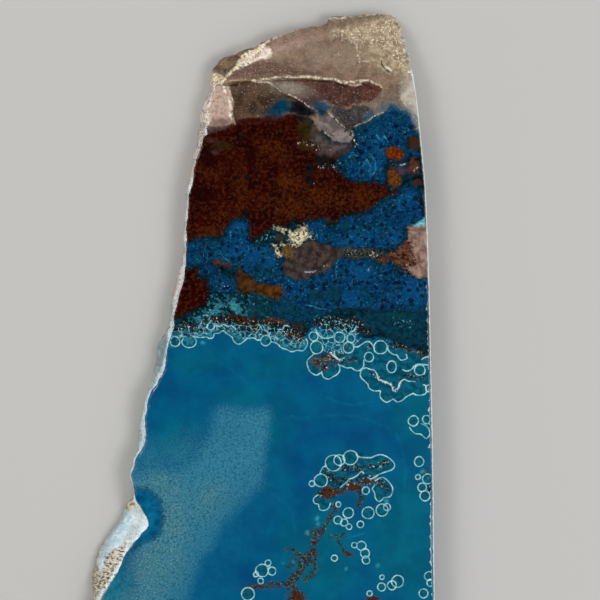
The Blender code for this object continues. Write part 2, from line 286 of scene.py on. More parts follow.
# %% Filling the face and the back
def fill_flat(height, rows, upward):
    edges = rim_edges(height)
    corners = list({corner: None for edge in edges for corner in edge.verts})
    number = {corner: index for index, corner in enumerate(corners)}
    starts = np.array([edge.verts[0].co.xy for edge in edges]) / MM
    ends = np.array([edge.verts[1].co.xy for edge in edges]) / MM
    points = face_points(rows)
    points = points[inside_and_clear(points, starts, ends, 0.2)]
    flat_points = [Vector(corner.co.xy) / MM for corner in corners] + [Vector(point) for point in points]
    links = [(number[edge.verts[0]], number[edge.verts[1]]) for edge in edges]
    _, _, triangles, _, _, _ = geometry.delaunay_2d_cdt(flat_points, links, [], 0, 1e-6)
    triangles = np.array(triangles)
    middles = np.array(flat_points)[triangles].mean(axis=1)
    triangles = triangles[inside_and_clear(middles, starts, ends, 0.0)]
    made = corners + [skin.verts.new((point[0] * MM, point[1] * MM, height * MM)) for point in points]
    for a, b, c in triangles:
        face = skin.faces.new([made[index] for index in ((a, b, c) if upward else (a, c, b))])
        face.material_index = 1 if upward else 2
    print("filled at", height, "mm with", len(triangles), "triangles")


fill_flat(FACE_HEIGHT, SPACINGS, True)
fill_flat(0.0, [(1.4, [(-36.0, -74.0, 36.0, 74.0)])], False)
bmesh.ops.recalc_face_normals(skin, faces=skin.faces)
print("the skin has", len(skin.faces), "faces, and",
      sum(len(edge.link_faces) != 2 for edge in skin.edges), "edges that don't join exactly two of them")

# %% The slab as an object
slab = bpy.data.objects.new("shattuckite_slab", bpy.data.meshes.new("shattuckite_slab"))
skin.to_mesh(slab.data)
skin.free()
bpy.context.scene.collection.objects.link(slab)
slab.data.shade_smooth()
slab.data.set_sharp_from_angle(angle=math.radians(38.0))
points = np.empty(3 * len(slab.data.vertices))
slab.data.vertices.foreach_get("co", points)
points = points.reshape(-1, 3) / MM
print("the slab has", len(slab.data.polygons), "triangles")

# %% [markdown]
# ## Markings as shapes
#
# Every marking is a named shape in millimetres: a patch with an outline, a stroke along a line, or an
# oval. For each kind of marking, every point of the slab keeps its distance to the nearest such shape,
# below zero inside it. The material turns that one number into a crisp edge at any size, and can fray it
# with noise.
#
# The markings go through the whole stone. Well below the face they drift sideways, so the back shows the
# same stone a few millimetres deeper and not a copy of the face.

# %% Smooth lines through a few points
FAR = 5.0


def rounded(line, closed):
    """The line with its corners rounded, as a smooth curve through its points."""
    given = [Vector(point) for point in line]
    count = len(given)
    made = []
    for index in range(count if closed else count - 1):
        a, b, c, d = (given[(index + step) % count] if closed else given[min(max(index + step, 0), count - 1)]
                      for step in (-1, 0, 1, 2))
        for share in (0.0, 0.25, 0.5, 0.75):
            made.append(0.5 * (2.0 * b + (c - a) * share + (2.0 * a - 5.0 * b + 4.0 * c - d) * share**2
                               + (3.0 * b - a - 3.0 * c + d) * share**3))
    return np.array(made if closed else made + [given[-1]])


# %% Distances to shapes
def to_line(spots, line, closed):
    """Each spot's distance to a line, and whether the line runs round it."""
    ends = np.roll(line, -1, axis=0) if closed else line[1:]
    starts = line if closed else line[:-1]
    nearest = np.full(len(spots), FAR**2)
    odd = np.zeros(len(spots), dtype=bool)
    for start, end in zip(starts, ends):
        along = end - start
        offset = spots - start
        share = np.clip(offset @ along / max(along @ along, 1e-12), 0.0, 1.0)
        nearest = np.minimum(nearest, ((offset - share[:, None] * along) ** 2).sum(axis=1))
        if closed and start[1] != end[1]:
            crosses = (start[1] > spots[:, 1]) != (end[1] > spots[:, 1])
            odd ^= crosses & (offset[:, 0] < offset[:, 1] * along[0] / along[1])
    return np.sqrt(nearest), odd


def marking_field(spots, patches=(), strokes=(), ovals=()):
    """Each spot's distance to the nearest of these shapes, below zero inside."""
    field = np.full(len(spots), FAR)
    for outline in patches:
        line = rounded(outline, True)
        close = np.all((spots > line.min(axis=0) - FAR) & (spots < line.max(axis=0) + FAR), axis=1)
        distance, inside = to_line(spots[close], line, True)
        field[close] = np.minimum(field[close], np.where(inside, -distance, distance))
    for half_width, path in strokes:
        line = rounded(path, False)
        close = np.all((spots > line.min(axis=0) - FAR) & (spots < line.max(axis=0) + FAR), axis=1)
        field[close] = np.minimum(field[close], to_line(spots[close], line, False)[0] - half_width)
    for x, y, half_long, half_wide, turn in ovals:
        away = spots - np.array([x, y])
        angle = math.radians(turn)
        u = (away[:, 0] * math.cos(angle) + away[:, 1] * math.sin(angle)) / half_long
        v = (away[:, 1] * math.cos(angle) - away[:, 0] * math.sin(angle)) / half_wide
        field = np.minimum(field, (np.hypot(u, v) - 1.0) * min(half_long, half_wide))
    return np.clip(field, -FAR, FAR)


# %% Where each point of the slab reads the markings
depth = FACE_HEIGHT - points[:, 2]
below = 2.0 * np.clip(depth - 3.5, 0.0, None)
drift = np.stack([layered_noise(points + 50.0, 9.0, 21), layered_noise(points - 50.0, 9.0, 31)], axis=1)
marked = points[:, :2] + drift * (0.28 * below)[:, None] + below[:, None] * np.array([0.12, -0.2])
ragged = np.stack([0.3 * stone_noise(points, 2.4, seed) + 0.16 * stone_noise(points, 0.9, seed + 2)
                   for seed in (41, 51)], axis=1)
ripple = 0.1 * np.stack([stone_noise(points, 1.3, 61), stone_noise(points, 1.3, 71)], axis=1)
print("the back's markings drift by up to", round(float(np.abs(marked - points[:, :2]).max()), 1), "mm")

# %% [markdown]
# ## Laying colours
#
# A marking is laid like a glaze: two colours that a grain mixes, an edge that is sharp or soft, and noise
# that frays it. All glazes stand in one list, and the material lays them over each other in that order.

# %% One marking with its colours
STONE, CRUST = [], []


def lay(stack, name, dark, light, grain="lump", cut=(0.38, 0.62), edge=0.12, fray=0.3, fray_grain="fray",
        share=1.0, only=None, fringe=None, wander=ragged, patches=(), strokes=(), ovals=()):
    """Keeps a marking's field on the slab, and adds its glaze to a stack."""
    field = marking_field(marked + wander, patches, strokes, ovals)
    slab.data.attributes.new(name, "FLOAT", "POINT").data.foreach_set("value", field.astype(np.float32))
    stack.append(dict(name=name, field=field, dark=dark, light=light, grain=grain, cut=cut, edge=edge,
                      fray=fray, fray_grain=fray_grain, share=share, only=only, fringe=fringe))
    print(name, "covers", round(100.0 * float((field < 0.0).mean()), 1), "% of the points")


# %% [markdown]
# ## The blue ground
#
# Most of the slab is chalcedony coloured through by copper. It has no edges, only clouds: greener where
# chrysocolla prevails, deeper where the stone is clear. At the left hang milky clouds full of fine dots.

# %% Clouds in the blue
lay(STONE, "green_cloud", "#00566c", "#006276", grain="broad", edge=3.0, fray=1.2, fray_grain="lump",
    share=0.85,
    ovals=[(30, -33, 7, 12, 0), (12, -35, 7, 10, 20), (31.5, -8, 4, 8, 0), (-11, 2.5, 8, 2.5, 0),
           (6, 2, 8, 2, 0), (4.2, -12, 1.8, 8, 5), (-17, -12, 4, 3, 40), (-2, -3.6, 4.5, 1.6, 0),
           (-4, -56, 20, 8, 0), (28, -62, 8, 10, 0)])
lay(STONE, "deep_cloud", "#003a6c", "#004678", grain="broad", edge=3.0, fray=1.2, fray_grain="lump",
    share=0.8,
    ovals=[(-18.8, -1.2, 2.4, 1.8, 30), (12, -12.2, 6, 1.6, 15), (19, -11.2, 6, 1.4, -8),
           (8, -18.5, 1.6, 5, 8), (27, -13.5, 2.5, 1.2, -40), (-1.2, -39.8, 2.6, 2.2, 40),
           (10, -1.2, 2.5, 1.0, 0), (20, -48, 8, 3, 10), (-8, 0.5, 2.6, 1.0, 15), (8.8, -26, 1.2, 3, 0),
           (-9, -62, 8, 4, 20)])
lay(STONE, "pale_filament", "#056a8c", "#0c7694", edge=0.5, fray=0.5, share=0.55,
    strokes=[(0.06, [(5.2, -8.2), (9.9, -8.2), (17.9, -7.6), (22, -8.6), (25.8, -10), (28.4, -13.4),
                     (29.6, -18), (29.4, -22.6)]),
             (0.12, [(18.3, -31.9), (19.8, -31.5), (21.8, -31.4)]),
             (0.06, [(29.8, -31.3), (31.3, -30.6), (34.9, -30.6)]),
             (0.06, [(31.3, -30.9), (33.4, -31.8), (34.9, -33.3)]),
             (0.1, [(0.4, -22.6), (3.6, -23.8), (6.4, -26.8), (7.6, -31)]),
             (0.06, [(-9, 3.4), (-4, 0.4), (0, -3.2)]), (0.06, [(14, -4.4), (18, -5.4), (23, -5.0)])])
lay(STONE, "bright_dash", "#1a80a0", "#2890ae", edge=0.12, fray=0.1, share=0.8,
    strokes=[(0.07, [(5.6, -8.15), (7.8, -8.0)]), (0.05, [(18.6, -31.8), (21.4, -31.4)])])

# %% Milky clouds and their dots
MILKY = [(-7.6, -6.6), (-3, -6.9), (1.7, -6.4), (2.1, -9.2), (1.6, -14.7), (0.8, -21.1), (-1.1, -23.4),
         (-4.2, -26.4), (-7, -29.6), (-8.6, -32.3), (-9.8, -34.7), (-11.6, -36.6), (-12.6, -39.6),
         (-14.4, -46), (-20, -62), (-34, -62), (-25, -45), (-23, -36), (-30, -30), (-45, -24),
         (-45, -19.4), (-24.8, -19.4), (-19.7, -19), (-15.7, -18.6), (-12.4, -15.8), (-9.9, -12.6),
         (-8.5, -9.6)]
lay(STONE, "milky_cloud", "#2c6f88", "#3f869c", grain="grit", edge=1.5, fray=1.6, fray_grain="grit",
    share=0.93,
    patches=[MILKY])
lay(STONE, "milky_margin", "#17607c", "#37798e", grain="grit", edge=4.2, fray=2.6, fray_grain="grit",
    share=0.85,
    ovals=[(-15.6, -15.5, 4.6, 2.4, 25), (-21.5, -16.5, 3.4, 2.2, 0), (-6, -9.8, 2.4, 2.4, 40)])
lay(STONE, "sandy_cloud", "#34707e", "#5a8788", grain="grit", edge=2.5, fray=1.6, fray_grain="grit",
    share=0.7,
    ovals=[(-19.5, -22.5, 4, 3, -20), (-17, -29, 3.4, 6, 10), (-20, -38, 6, 5.5, 30), (-28, -50, 8, 9, 0),
           (-10, -25, 4, 3, 40)])
lay(STONE, "cloud_fade", "#065078", "#0e5a7e", grain="lump", edge=9.0, fray=2.0, fray_grain="grit",
    share=0.85,
    ovals=[(-6.6, -32.5, 8, 2.4, 57), (-12, -43, 6, 3, 62)])
lay(STONE, "cloud_dots", "#0d4c68", "#155874", grain="grit", edge=0.8, fray=1.5, share=0.75,
    only=("fleck", 0.54, 0.62),
    patches=[MILKY])
lay(STONE, "cloud_sand", "#5f8480", "#8e9a84", edge=1.5, fray=1.0, share=0.5, only=("grit", 0.54, 0.66),
    ovals=[(-19.5, -22.5, 3.4, 2.6, -20), (-17.4, -29, 2.4, 6, 8), (-21, -36.4, 5, 3.4, 30),
           (-26, -48, 8, 8, 0)])
lay(STONE, "teal_foot", "#005a70", "#06708a", grain="lump", edge=2.6, fray=1.2, share=0.8,
    ovals=[(-29, -42.4, 3.6, 3.0, 40), (-28, -50, 3, 5, 0)])

# %% The blue eye at the edge
EYE = [(-27, -22), (-24.2, -22.3), (-22, -22.6), (-20.2, -24.3), (-19.1, -27), (-19, -29), (-19.6, -31),
       (-21, -32.5), (-23, -33.3), (-28, -34)]
lay(STONE, "blue_eye", "#00446a", "#005a80", grain="lump", edge=1.0, fray=1.7, fray_grain="fleck",
    fringe=("#113c50", 1.1, 0.8),
    patches=[EYE])
lay(STONE, "eye_glow", "#0a6488", "#14789a", edge=1.4, fray=0.8, share=0.7,
    ovals=[(-21.6, -27.6, 0.8, 3.2, -12)])

# %% [markdown]
# ## The soaked rock
#
# Above the banded line the slab is broken rock that was soaked, stained and cemented: jasper red with
# iron, pockets of shattuckite in the brightest blue, and windows of grey quartz. Nearly black seams run
# between them.

# %% The dark rock between everything
UPPER_ROCK = [(-30, 8.6), (-17.6, 8.6), (-15.2, 9.2), (-12.4, 9.0), (-10.2, 8.9), (-8.6, 10.2),
              (-7, 10.4), (-5.4, 10), (-4.3, 9.4), (-3, 9), (-1.2, 8.6), (0.4, 9.2), (1.0, 10.4), (2, 9),
              (3.4, 8.8), (5, 8.4), (7, 7.6), (8.6, 6.8), (9.6, 8), (10.4, 9.6), (12, 10.4), (13.6, 9),
              (15, 9.4), (17, 9.4), (19.6, 8.6), (21, 7.6), (23, 7.7), (24.6, 8), (26.4, 7.1), (28, 5.9),
              (30.5, 5.3), (33, 4.6), (40, 4.2), (40, 80), (-30, 80)]
lay(STONE, "dark_rock", "#020a10", "#06303e", cut=(0.36, 0.66), edge=0.25, fray=0.9,
    patches=[UPPER_ROCK])
lay(STONE, "teal_flecks", "#104a58", "#347e8a", grain="grit", fray=0.3, share=0.8,
    only=("pepper", 0.5, 0.6),
    patches=[[(-17.2, 9), (-12.8, 12.8), (-9, 16.6), (-3, 16.8), (2, 16), (2, 11.6), (-4, 10),
              (-10, 9.4)]])

# %% Rust: iron-stained jasper
RUST = [[(-20, 50.3), (-9.5, 49.8), (-6, 50.4), (0, 51.7), (6, 52.3), (9, 51.4), (10.8, 49.6),
         (11.4, 47.4), (11.9, 46), (13.8, 45), (15.4, 45.2), (16.6, 44.6), (15.9, 43), (16.4, 41.4),
         (17.2, 40.2), (18.4, 39.3), (20.5, 38.8), (22, 38.8), (23.2, 39.6), (24.2, 38.6), (25.3, 38.9),
         (26, 37.6), (27.8, 37.2), (28.2, 36.4), (26.5, 36.6), (25, 35.6), (23.5, 34.2), (21, 33),
         (17, 32), (15.5, 31), (13.5, 30.6), (12, 31.6), (10.2, 31.2), (9, 30.8), (6, 30.6), (3.2, 30),
         (1.5, 29), (0, 28), (-1.2, 27.2), (-1.8, 29), (-2, 31), (-3, 31.9), (-5, 31.5), (-6.2, 30.4),
         (-6.8, 28.8), (-8, 28), (-10, 27.8), (-12.4, 27.9), (-14.3, 27.3), (-20, 27.2)],
        [(-20, 21.7), (-14.8, 21.6), (-11.2, 21.5), (-11.8, 20.5), (-9.9, 19.2), (-9.7, 17.6),
         (-9.1, 16.9), (-9.9, 15.5), (-11, 14.4), (-12.7, 13.4), (-14.6, 12.3), (-20, 12.2)]]
lay(STONE, "rust", "#170000", "#2c0400", grain="patch", cut=(0.36, 0.66), edge=0.2, fray=0.9,
    fringe=("#0a0a0a", 0.35, 0.8),
    patches=RUST)
lay(STONE, "rust_grain", "#371105", "#4d2010", grain="grit", edge=0.3, fray=0.8, share=0.75,
    only=("pepper", 0.49, 0.6),
    patches=RUST)
lay(STONE, "orange_rust", "#401b05", "#5a2d0a", grain="grit", edge=1.6, fray=1.5, fray_grain="patch",
    share=0.7, only=("grain", 0.42, 0.58),
    ovals=[(-3.2, 36.8, 0.9, 2.8, 8), (3, 45.6, 3, 1.4, -20), (-11.8, 41.4, 2.4, 0.8, -10),
           (-11.6, 28.8, 3.4, 0.8, 0), (16, 35.6, 7.5, 1.8, -8), (6, 34, 5, 2.2, 0),
           (22, 36.4, 3.4, 1.2, 10), (-7.4, 31.6, 1.6, 1.4, 40), (6.4, 38.6, 3, 2, 0)])
lay(STONE, "maroon_glass", "#120001", "#220200", edge=0.9, fray=0.7, share=0.85,
    ovals=[(-1.5, 44.8, 1.1, 2.4, 0), (-9.8, 43.6, 1.7, 1.6, 0), (-11.6, 36.5, 2.6, 1.6, 0),
           (-12.6, 44, 0.9, 1.6, 0)])
lay(STONE, "olive_rust", "#1d1506", "#302a0e", grain="patch", edge=1.0, fray=0.8, share=0.85,
    ovals=[(9.9, 49.4, 1.7, 2.2, 10), (9.6, 46.6, 1.2, 1.6, 0), (-7.4, 46.2, 1.6, 0.7, 10)])
lay(STONE, "black_pits", "#050505", "#101614", edge=0.2, fray=0.35, share=0.9,
    ovals=[(-4.2, 40, 0.55, 0.5, 0), (-1.9, 39.7, 0.6, 0.5, 0), (-0.3, 41.6, 0.4, 0.35, 0),
           (10.4, 39.3, 1.2, 0.9, 0), (-2.4, 32.7, 0.8, 0.9, 0), (14.2, 42.8, 2.4, 1.2, 0),
           (10.3, 41.4, 0.8, 1.1, 0), (-3.6, 47.9, 0.6, 0.5, 0), (12.6, 44.2, 1.4, 0.9, 20),
           (33.4, 45.6, 0.7, 1.9, 0), (29.9, 47.6, 0.5, 1.0, 0), (33.5, 39.2, 0.6, 3.4, 0)])
lay(STONE, "mauve_smudge", "#32201f", "#44302e", edge=0.4, fray=0.5, share=0.8,
    ovals=[(-9.2, 47.2, 1.3, 0.5, -10), (-8.6, 44.9, 0.5, 0.4, 0), (12.6, 45.6, 1.8, 1.2, -20)])

# %% Shattuckite: the brightest blue
SHATTUCKITE = [[(19.4, 49.4), (20.9, 50.4), (22.6, 51), (23.7, 52.2), (25.6, 52.8), (26.5, 54),
                (27.4, 54.1), (28.6, 53), (29.9, 52.9), (31, 51.8), (31.8, 50.6), (32.1, 49.3),
                (31.8, 48.5), (30, 48), (29.4, 46.6), (29.6, 45.4), (31.4, 45.3), (32.4, 44.4),
                (32, 43.7), (30.2, 44), (28.8, 43.2), (26.4, 43), (25.4, 42), (25.2, 41.3), (25.2, 39.2),
                (24.5, 38.9), (23.6, 39.5), (22.9, 40), (22, 39.1), (20.5, 39.1), (18.4, 39.6),
                (17, 40.4), (16.2, 41.6), (15.6, 42.8), (17.3, 44.9), (19, 46), (20, 47.6)],
               [(9.6, 30.2), (10.6, 31), (12, 31.3), (13.2, 30.8), (13.9, 30), (15.1, 29.9), (16.1, 30.8),
                (17, 31.7), (18.4, 31.8), (20, 32), (21, 32.4), (23, 33.6), (25, 34.8), (26.4, 36),
                (28.2, 36), (28.8, 38.4), (30.4, 38.2), (31.9, 37), (32.6, 34.4), (33.4, 32),
                (31.6, 30.7), (30, 30), (29.2, 29.2), (28.9, 27.6), (27.9, 26.1), (26.2, 25.6),
                (24.4, 25.4), (22.6, 25.6), (20.6, 25.3), (19.4, 25.8), (18.3, 26.4), (17, 26.3),
                (14.6, 26.3), (12.6, 26.9), (11.2, 27.6)],
               [(-20, 27), (-14.3, 26.9), (-12.2, 27.4), (-10.6, 27.4), (-8, 27.3), (-7, 27.6),
                (-6.4, 28.8), (-5.8, 30), (-4.9, 30.9), (-3.4, 31.3), (-2.3, 31), (-1.9, 30.2),
                (-1.8, 28), (-1.25, 26.7), (-0.4, 26.5), (0.8, 26.9), (2.2, 26.2), (3.2, 25.3),
                (4.3, 24.5), (4.9, 23.4), (5.1, 21.4), (5.1, 20.3), (4.8, 19.2), (5, 18.2), (2.8, 18.2),
                (0.3, 18.6), (-0.9, 19.5), (-1.8, 20.5), (-2.8, 21.3), (-4, 21.8), (-5.4, 22.3), (-7, 23),
                (-9, 22.6), (-10.8, 22.2), (-14.6, 22), (-20, 21.8)],
               [(4, 22.4), (5.2, 21), (7.4, 20.2), (9.4, 19.8), (12, 20.6), (13.6, 21.8), (15, 23.2),
                (15.6, 23.8), (17, 23.6), (18.6, 23.4), (20.6, 23.4), (23, 23.6), (23.8, 22.6),
                (25.4, 22.9), (26.8, 22.4), (28, 21.4), (29.3, 21), (30.6, 20), (31.8, 19.8), (40, 19.8),
                (40, 13.4), (33, 12.6), (28, 13.4), (24, 13), (20, 13.6), (15.4, 13.4), (11, 11), (7, 11),
                (3.4, 12.2), (2.4, 15), (4.8, 16)],
               [(-9.8, 19.6), (-8.2, 20.6), (-6, 20.2), (-4.4, 19.6), (-4.2, 18.2), (-4.6, 17.2),
                (-7, 16.8), (-9.2, 17.4)],
               [(-11.4, 21.4), (-9.8, 22.2), (-8.2, 21.6), (-8.8, 20.4), (-10.6, 20.2)]]
lay(STONE, "shattuckite", "#012240", "#043c68", cut=(0.36, 0.62), edge=0.22, fray=0.8,
    fringe=("#03222e", 0.5, 0.7),
    patches=SHATTUCKITE)
lay(STONE, "blue_to_teal", "#032a38", "#05414e", grain="lump", edge=0.8, fray=1.0, share=0.85,
    only=("patch", 0.5, 0.6),
    patches=SHATTUCKITE)
lay(STONE, "blue_glow", "#05406c", "#094f7c", edge=1.2, fray=1.0, share=0.7,
    ovals=[(24, 46.8, 2.6, 1.2, -60), (22.8, 42, 1.6, 2.4, 0), (-3.6, 29.8, 1.4, 1.4, 0),
           (-2.4, 25, 4.4, 1.4, 0), (2.6, 23.4, 1.6, 1.6, 0), (20, 27.6, 4, 1.6, 15),
           (27.2, 28, 1.6, 2, 0), (21, 20.6, 2.4, 2.2, 0), (31, 17, 2.6, 3, 0), (18.8, 15.8, 2, 1.4, 0),
           (29.6, 35.6, 2.4, 1.0, 20), (9, 17.2, 1.6, 1.2, 0)])
lay(STONE, "teal_cast", "#04303e", "#0a4c5c", grain="grain", edge=1.2, fray=1.2, share=0.6,
    only=("lump", 0.5, 0.6),
    patches=SHATTUCKITE)
lay(STONE, "azure_grain", "#0a4f86", "#1368a0", grain="grit", edge=0.4, fray=0.8, share=0.6,
    only=("pepper", 0.55, 0.68),
    patches=SHATTUCKITE)
lay(STONE, "navy_cells", "#010a20", "#021436", edge=0.3, fray=0.8, share=0.85, only=("cells", 0.4, 0.26),
    patches=SHATTUCKITE)
lay(STONE, "black_seams", "#02060e", "#06121e", edge=0.3, fray=0.8, share=0.8, only=("lump", 0.55, 0.63),
    patches=SHATTUCKITE)
lay(STONE, "blue_flecks", "#1d6a94", "#4a98b4", grain="lump", edge=0.3, fray=0.8, share=0.5,
    only=("fleck", 0.6, 0.68),
    patches=SHATTUCKITE)
lay(STONE, "teal_rock", "#01202e", "#074054", grain="fray", cut=(0.34, 0.66), edge=1.6, fray=2.4,
    fray_grain="lump", share=0.75,
    patches=[[(2, 16.4), (8, 14.6), (13, 13), (20, 12.6), (28, 13), (36, 14), (36, 6), (29, 7), (25, 8.6),
              (18, 10.6), (11, 10.6), (3, 12)]])
lay(STONE, "teal_pools", "#032a36", "#053a46", edge=0.5, fray=0.6, share=0.85,
    ovals=[(11.8, 16.2, 1.7, 1.0, 0), (20.9, 17.4, 1.1, 0.7, 0), (15.4, 16.8, 1.6, 1.2, 30),
           (13.6, 31.4, 0.8, 0.5, 0), (0, 21.9, 0.9, 0.5, 0), (27, 12.2, 6, 1.0, 0),
           (17.5, 30, 1.0, 0.8, 0), (-0.4, 14, 1.6, 2.2, 10)])
lay(STONE, "bright_veins", "#1d7299", "#3f9cba", grain="grit", edge=0.14, fray=0.2, share=0.8,
    strokes=[(0.08, [(23.5, 48.6), (24.4, 47.4), (25.2, 48.2)]), (0.1, [(25.2, 48.4), (26.2, 46.8)]),
             (0.09, [(21.6, 43.6), (21.2, 42.6), (20.4, 41.8), (20, 40.8)]),
             (0.09, [(22.3, 44.5), (23.2, 43.1), (23.4, 41.4), (22.7, 40.3)]),
             (0.08, [(21.6, 43.4), (22.4, 42), (22.2, 40.8)]),
             (0.08, [(17.4, 43.2), (18.8, 44.6), (20, 44.2)]),
             (0.1, [(9.8, 14.2), (11.6, 14), (14.4, 13.3)]), (0.08, [(6.4, 20.2), (7.9, 20.7)]),
             (0.08, [(-5.4, 26.8), (-5.6, 29.2)]), (0.08, [(-7.4, 24.6), (-5.6, 23)]),
             (0.08, [(16.2, 23.6), (15.4, 21.6), (15.8, 19.6)]), (0.07, [(5.4, 19.6), (7.4, 18.4)])])

# %% Dark seams with crumbs between rust and blue
SEAMS = [(0.25, [start, end]) for outline in RUST + SHATTUCKITE for start, end in zip(outline, outline[1:])
         if start[1] < 48.0 and start[0] > -14.0]
lay(STONE, "seam_dark", "#030608", "#0a1418", grain="grain", edge=0.4, fray=1.0, share=0.85,
    only=("lump", 0.44, 0.54),
    strokes=SEAMS)
lay(STONE, "seam_teal", "#0b4a5a", "#2f7c8c", grain="lump", edge=0.4, fray=1.2, share=0.6,
    only=("fleck", 0.58, 0.66),
    strokes=SEAMS)

# %% Quartz: the broken cap and the grey windows
QUARTZ_CAP = [(-20, 50.6), (-9.5, 50.6), (-6, 51), (-2, 51.6), (0, 52), (4, 52.6), (8, 52.3),
              (10.8, 51.6), (11.6, 50.2), (12.4, 49.2), (14, 52), (15.6, 51.6), (17.6, 50.2),
              (18.9, 49.7), (20.5, 50.6), (22, 51.2), (23, 52.3), (25.6, 53), (26.5, 54.2), (27.5, 54.3),
              (28.7, 53.3), (30, 53), (31.2, 51.6), (31.9, 50.2), (40, 49.6), (40, 80), (-20, 80)]
lay(STONE, "quartz_cap", "#6a5342", "#876d58", grain="patch", edge=0.25, fray=0.4, patches=[QUARTZ_CAP])
lay(STONE, "red_fringe", "#330f0a", "#4d1e14", edge=0.9, fray=0.7, share=0.8,
    strokes=[(0.5, [(-9.8, 50.2), (-6, 50.9), (-2, 51.6), (2, 52.2), (6, 52.7)])])
lay(STONE, "smoky_quartz", "#35261b", "#543f2f", grain="patch", edge=0.3, fray=0.3,
    patches=[[(-5.2, 58.7), (-2.6, 59), (0.8, 59.2), (2.3, 58.9), (3.4, 58.1), (4.7, 56.9), (6.2, 56.2),
              (7.9, 55.4), (9.7, 54.2), (10.4, 53.4), (8, 52.9), (4, 52.8), (0, 52.2), (-2.6, 51.8),
              (-4.6, 51.4), (-5, 54)]])
lay(STONE, "smoky_light", "#5e4838", "#705848", edge=1.3, fray=0.6, share=0.8,
    ovals=[(-0.6, 57.6, 2.6, 0.8, -8)])
lay(STONE, "chip_hollow", "#35150a", "#522616", grain="patch", edge=0.3, fray=0.4,
    patches=[[(2.6, 59.1), (4.7, 57.2), (7.9, 55.7), (10.9, 54.1), (13, 55.4), (15.4, 54.3), (18, 54.1),
              (19.5, 55), (21.8, 55.2), (23.6, 55.7), (24.6, 56.9), (24.3, 57.7), (22, 59), (17.6, 58.6),
              (12.6, 59.7), (6, 59.8)]])
lay(STONE, "chip_grey", "#857b6c", "#948a7c", edge=1.2, fray=0.6, share=0.9,
    ovals=[(6.4, 57.9, 3.4, 1.2, -14)])
lay(STONE, "mauve_wedge", "#241c1c", "#36302f", edge=0.35, fray=0.3,
    patches=[[(15.2, 54), (18, 53.8), (19.5, 54.7), (22.7, 54), (23, 52.4), (22, 51.3), (20.5, 50.7),
              (19, 49.7), (17.7, 49.9), (16.6, 51.1), (15.5, 52), (14.6, 53)]])
lay(STONE, "beige_band", "#665649", "#786a5e", edge=0.8, fray=0.5, share=0.9,
    patches=[[(20, 54.9), (23.6, 55.2), (25, 57), (28.5, 57.6), (28.7, 54), (26.6, 54.4), (24, 53.2),
              (22.6, 54.2)]])
lay(STONE, "pale_corner", "#9a9182", "#bdb5a6", grain="patch", edge=1.1, fray=1.0,
    patches=[[(28.7, 57.4), (29.2, 60.4), (31, 62.6), (34, 62.6), (34, 49.8), (31.9, 50), (30.9, 52.2),
              (29.8, 54), (28.9, 55.7)]])
lay(STONE, "cap_mauve", "#533a30", "#6f5443", grain="grit", edge=1.0, fray=0.8, share=0.9,
    patches=[[(-5.8, 59.9), (-4.2, 61.3), (-1.6, 62.8), (1.6, 63.6), (4.6, 63.2), (7.4, 62.4), (10, 61),
              (11, 60.5), (5, 60.3), (0, 59.9)]])
lay(STONE, "cap_rose", "#937a68", "#aa8e7e", edge=1.4, fray=0.6, share=0.85,
    ovals=[(4.4, 65.8, 3.6, 1.4, 18), (8.6, 67.2, 3.6, 1.2, 14)])
lay(STONE, "cap_grey", "#836e5a", "#8e7964", edge=1.0, fray=0.6, share=0.85,
    ovals=[(17.4, 64, 2.6, 2.6, 0), (12.5, 64.6, 2.4, 2, 0)])
lay(STONE, "cap_olive", "#86735a", "#b4a184", grain="lump", edge=1.2, fray=0.8, share=0.85,
    patches=[[(13.6, 69.6), (19, 70.4), (24, 72.4), (29, 72), (31.6, 61), (29.2, 60), (24, 61.4),
              (21, 64), (18.6, 67.6)]])
lay(STONE, "cap_gold", "#d2bd98", "#f6ead0", grain="grit", edge=0.6, fray=1.0, share=0.8,
    only=("fleck", 0.55, 0.63),
    patches=[[(14.6, 69.2), (19.6, 69.6), (24, 71.8), (28.6, 71.4), (30.6, 63), (28, 62), (26.2, 65),
              (22.6, 67.2), (19.4, 67.4)]])
lay(STONE, "cap_crackle", "#cdb896", "#f3e7cf", grain="grit", edge=0.8, fray=1.0, share=0.7,
    only=("lace", 0.12, 0.09),
    patches=[[(14.6, 69.2), (19.6, 70.2), (24, 72), (29, 71.6), (31, 63), (28.6, 61.6), (25.4, 63.4),
              (22.6, 66.4), (18.4, 66.8)]])
lay(STONE, "cap_strip", "#6d5f48", "#86775e", edge=0.35, fray=0.4, share=0.9,
    strokes=[(0.5, [(14.8, 71.8), (17, 71.4), (19, 71.6), (21.4, 72.2), (25, 72.6)]),
             (0.35, [(8, 70.1), (12, 70.1)])])

# %% The crest, the knob and the left corner
lay(STONE, "knob", "#4a3420", "#7c6048", edge=0.25, fray=0.7,
    patches=[[(-10.2, 61.6), (-9, 63), (-7.4, 64.2), (-5.2, 65), (-3.9, 65.8), (-0.9, 66.4), (-2.9, 64.3),
              (-4.4, 62.9), (-5.9, 61.2), (-6.8, 60.6), (-8.4, 61)]])
# A painted highlight: a pale pink line along the top of the knob.
lay(STONE, "painted_knob_highlight", "#937a70", "#b59c92", edge=0.4, fray=0.4, share=0.8,
    strokes=[(0.25, [(-7, 63.9), (-4.8, 64.9), (-2.6, 65.6)])])
# The left corner: partly the cream of the quartz, partly painted sunlight on a rim that faces the light.
lay(STONE, "cream_corner_painted_sunlit", "#cdb98c", "#f6ecd4", grain="grit", edge=0.3, fray=1.0, share=0.95,
    patches=[[(-10.6, 61.2), (-8.4, 60.9), (-6.9, 60.3), (-6.6, 59.2), (-7.4, 58.7), (-9.2, 58),
              (-10.1, 56), (-10.6, 53.6), (-12.4, 53.6), (-11.4, 57)]])
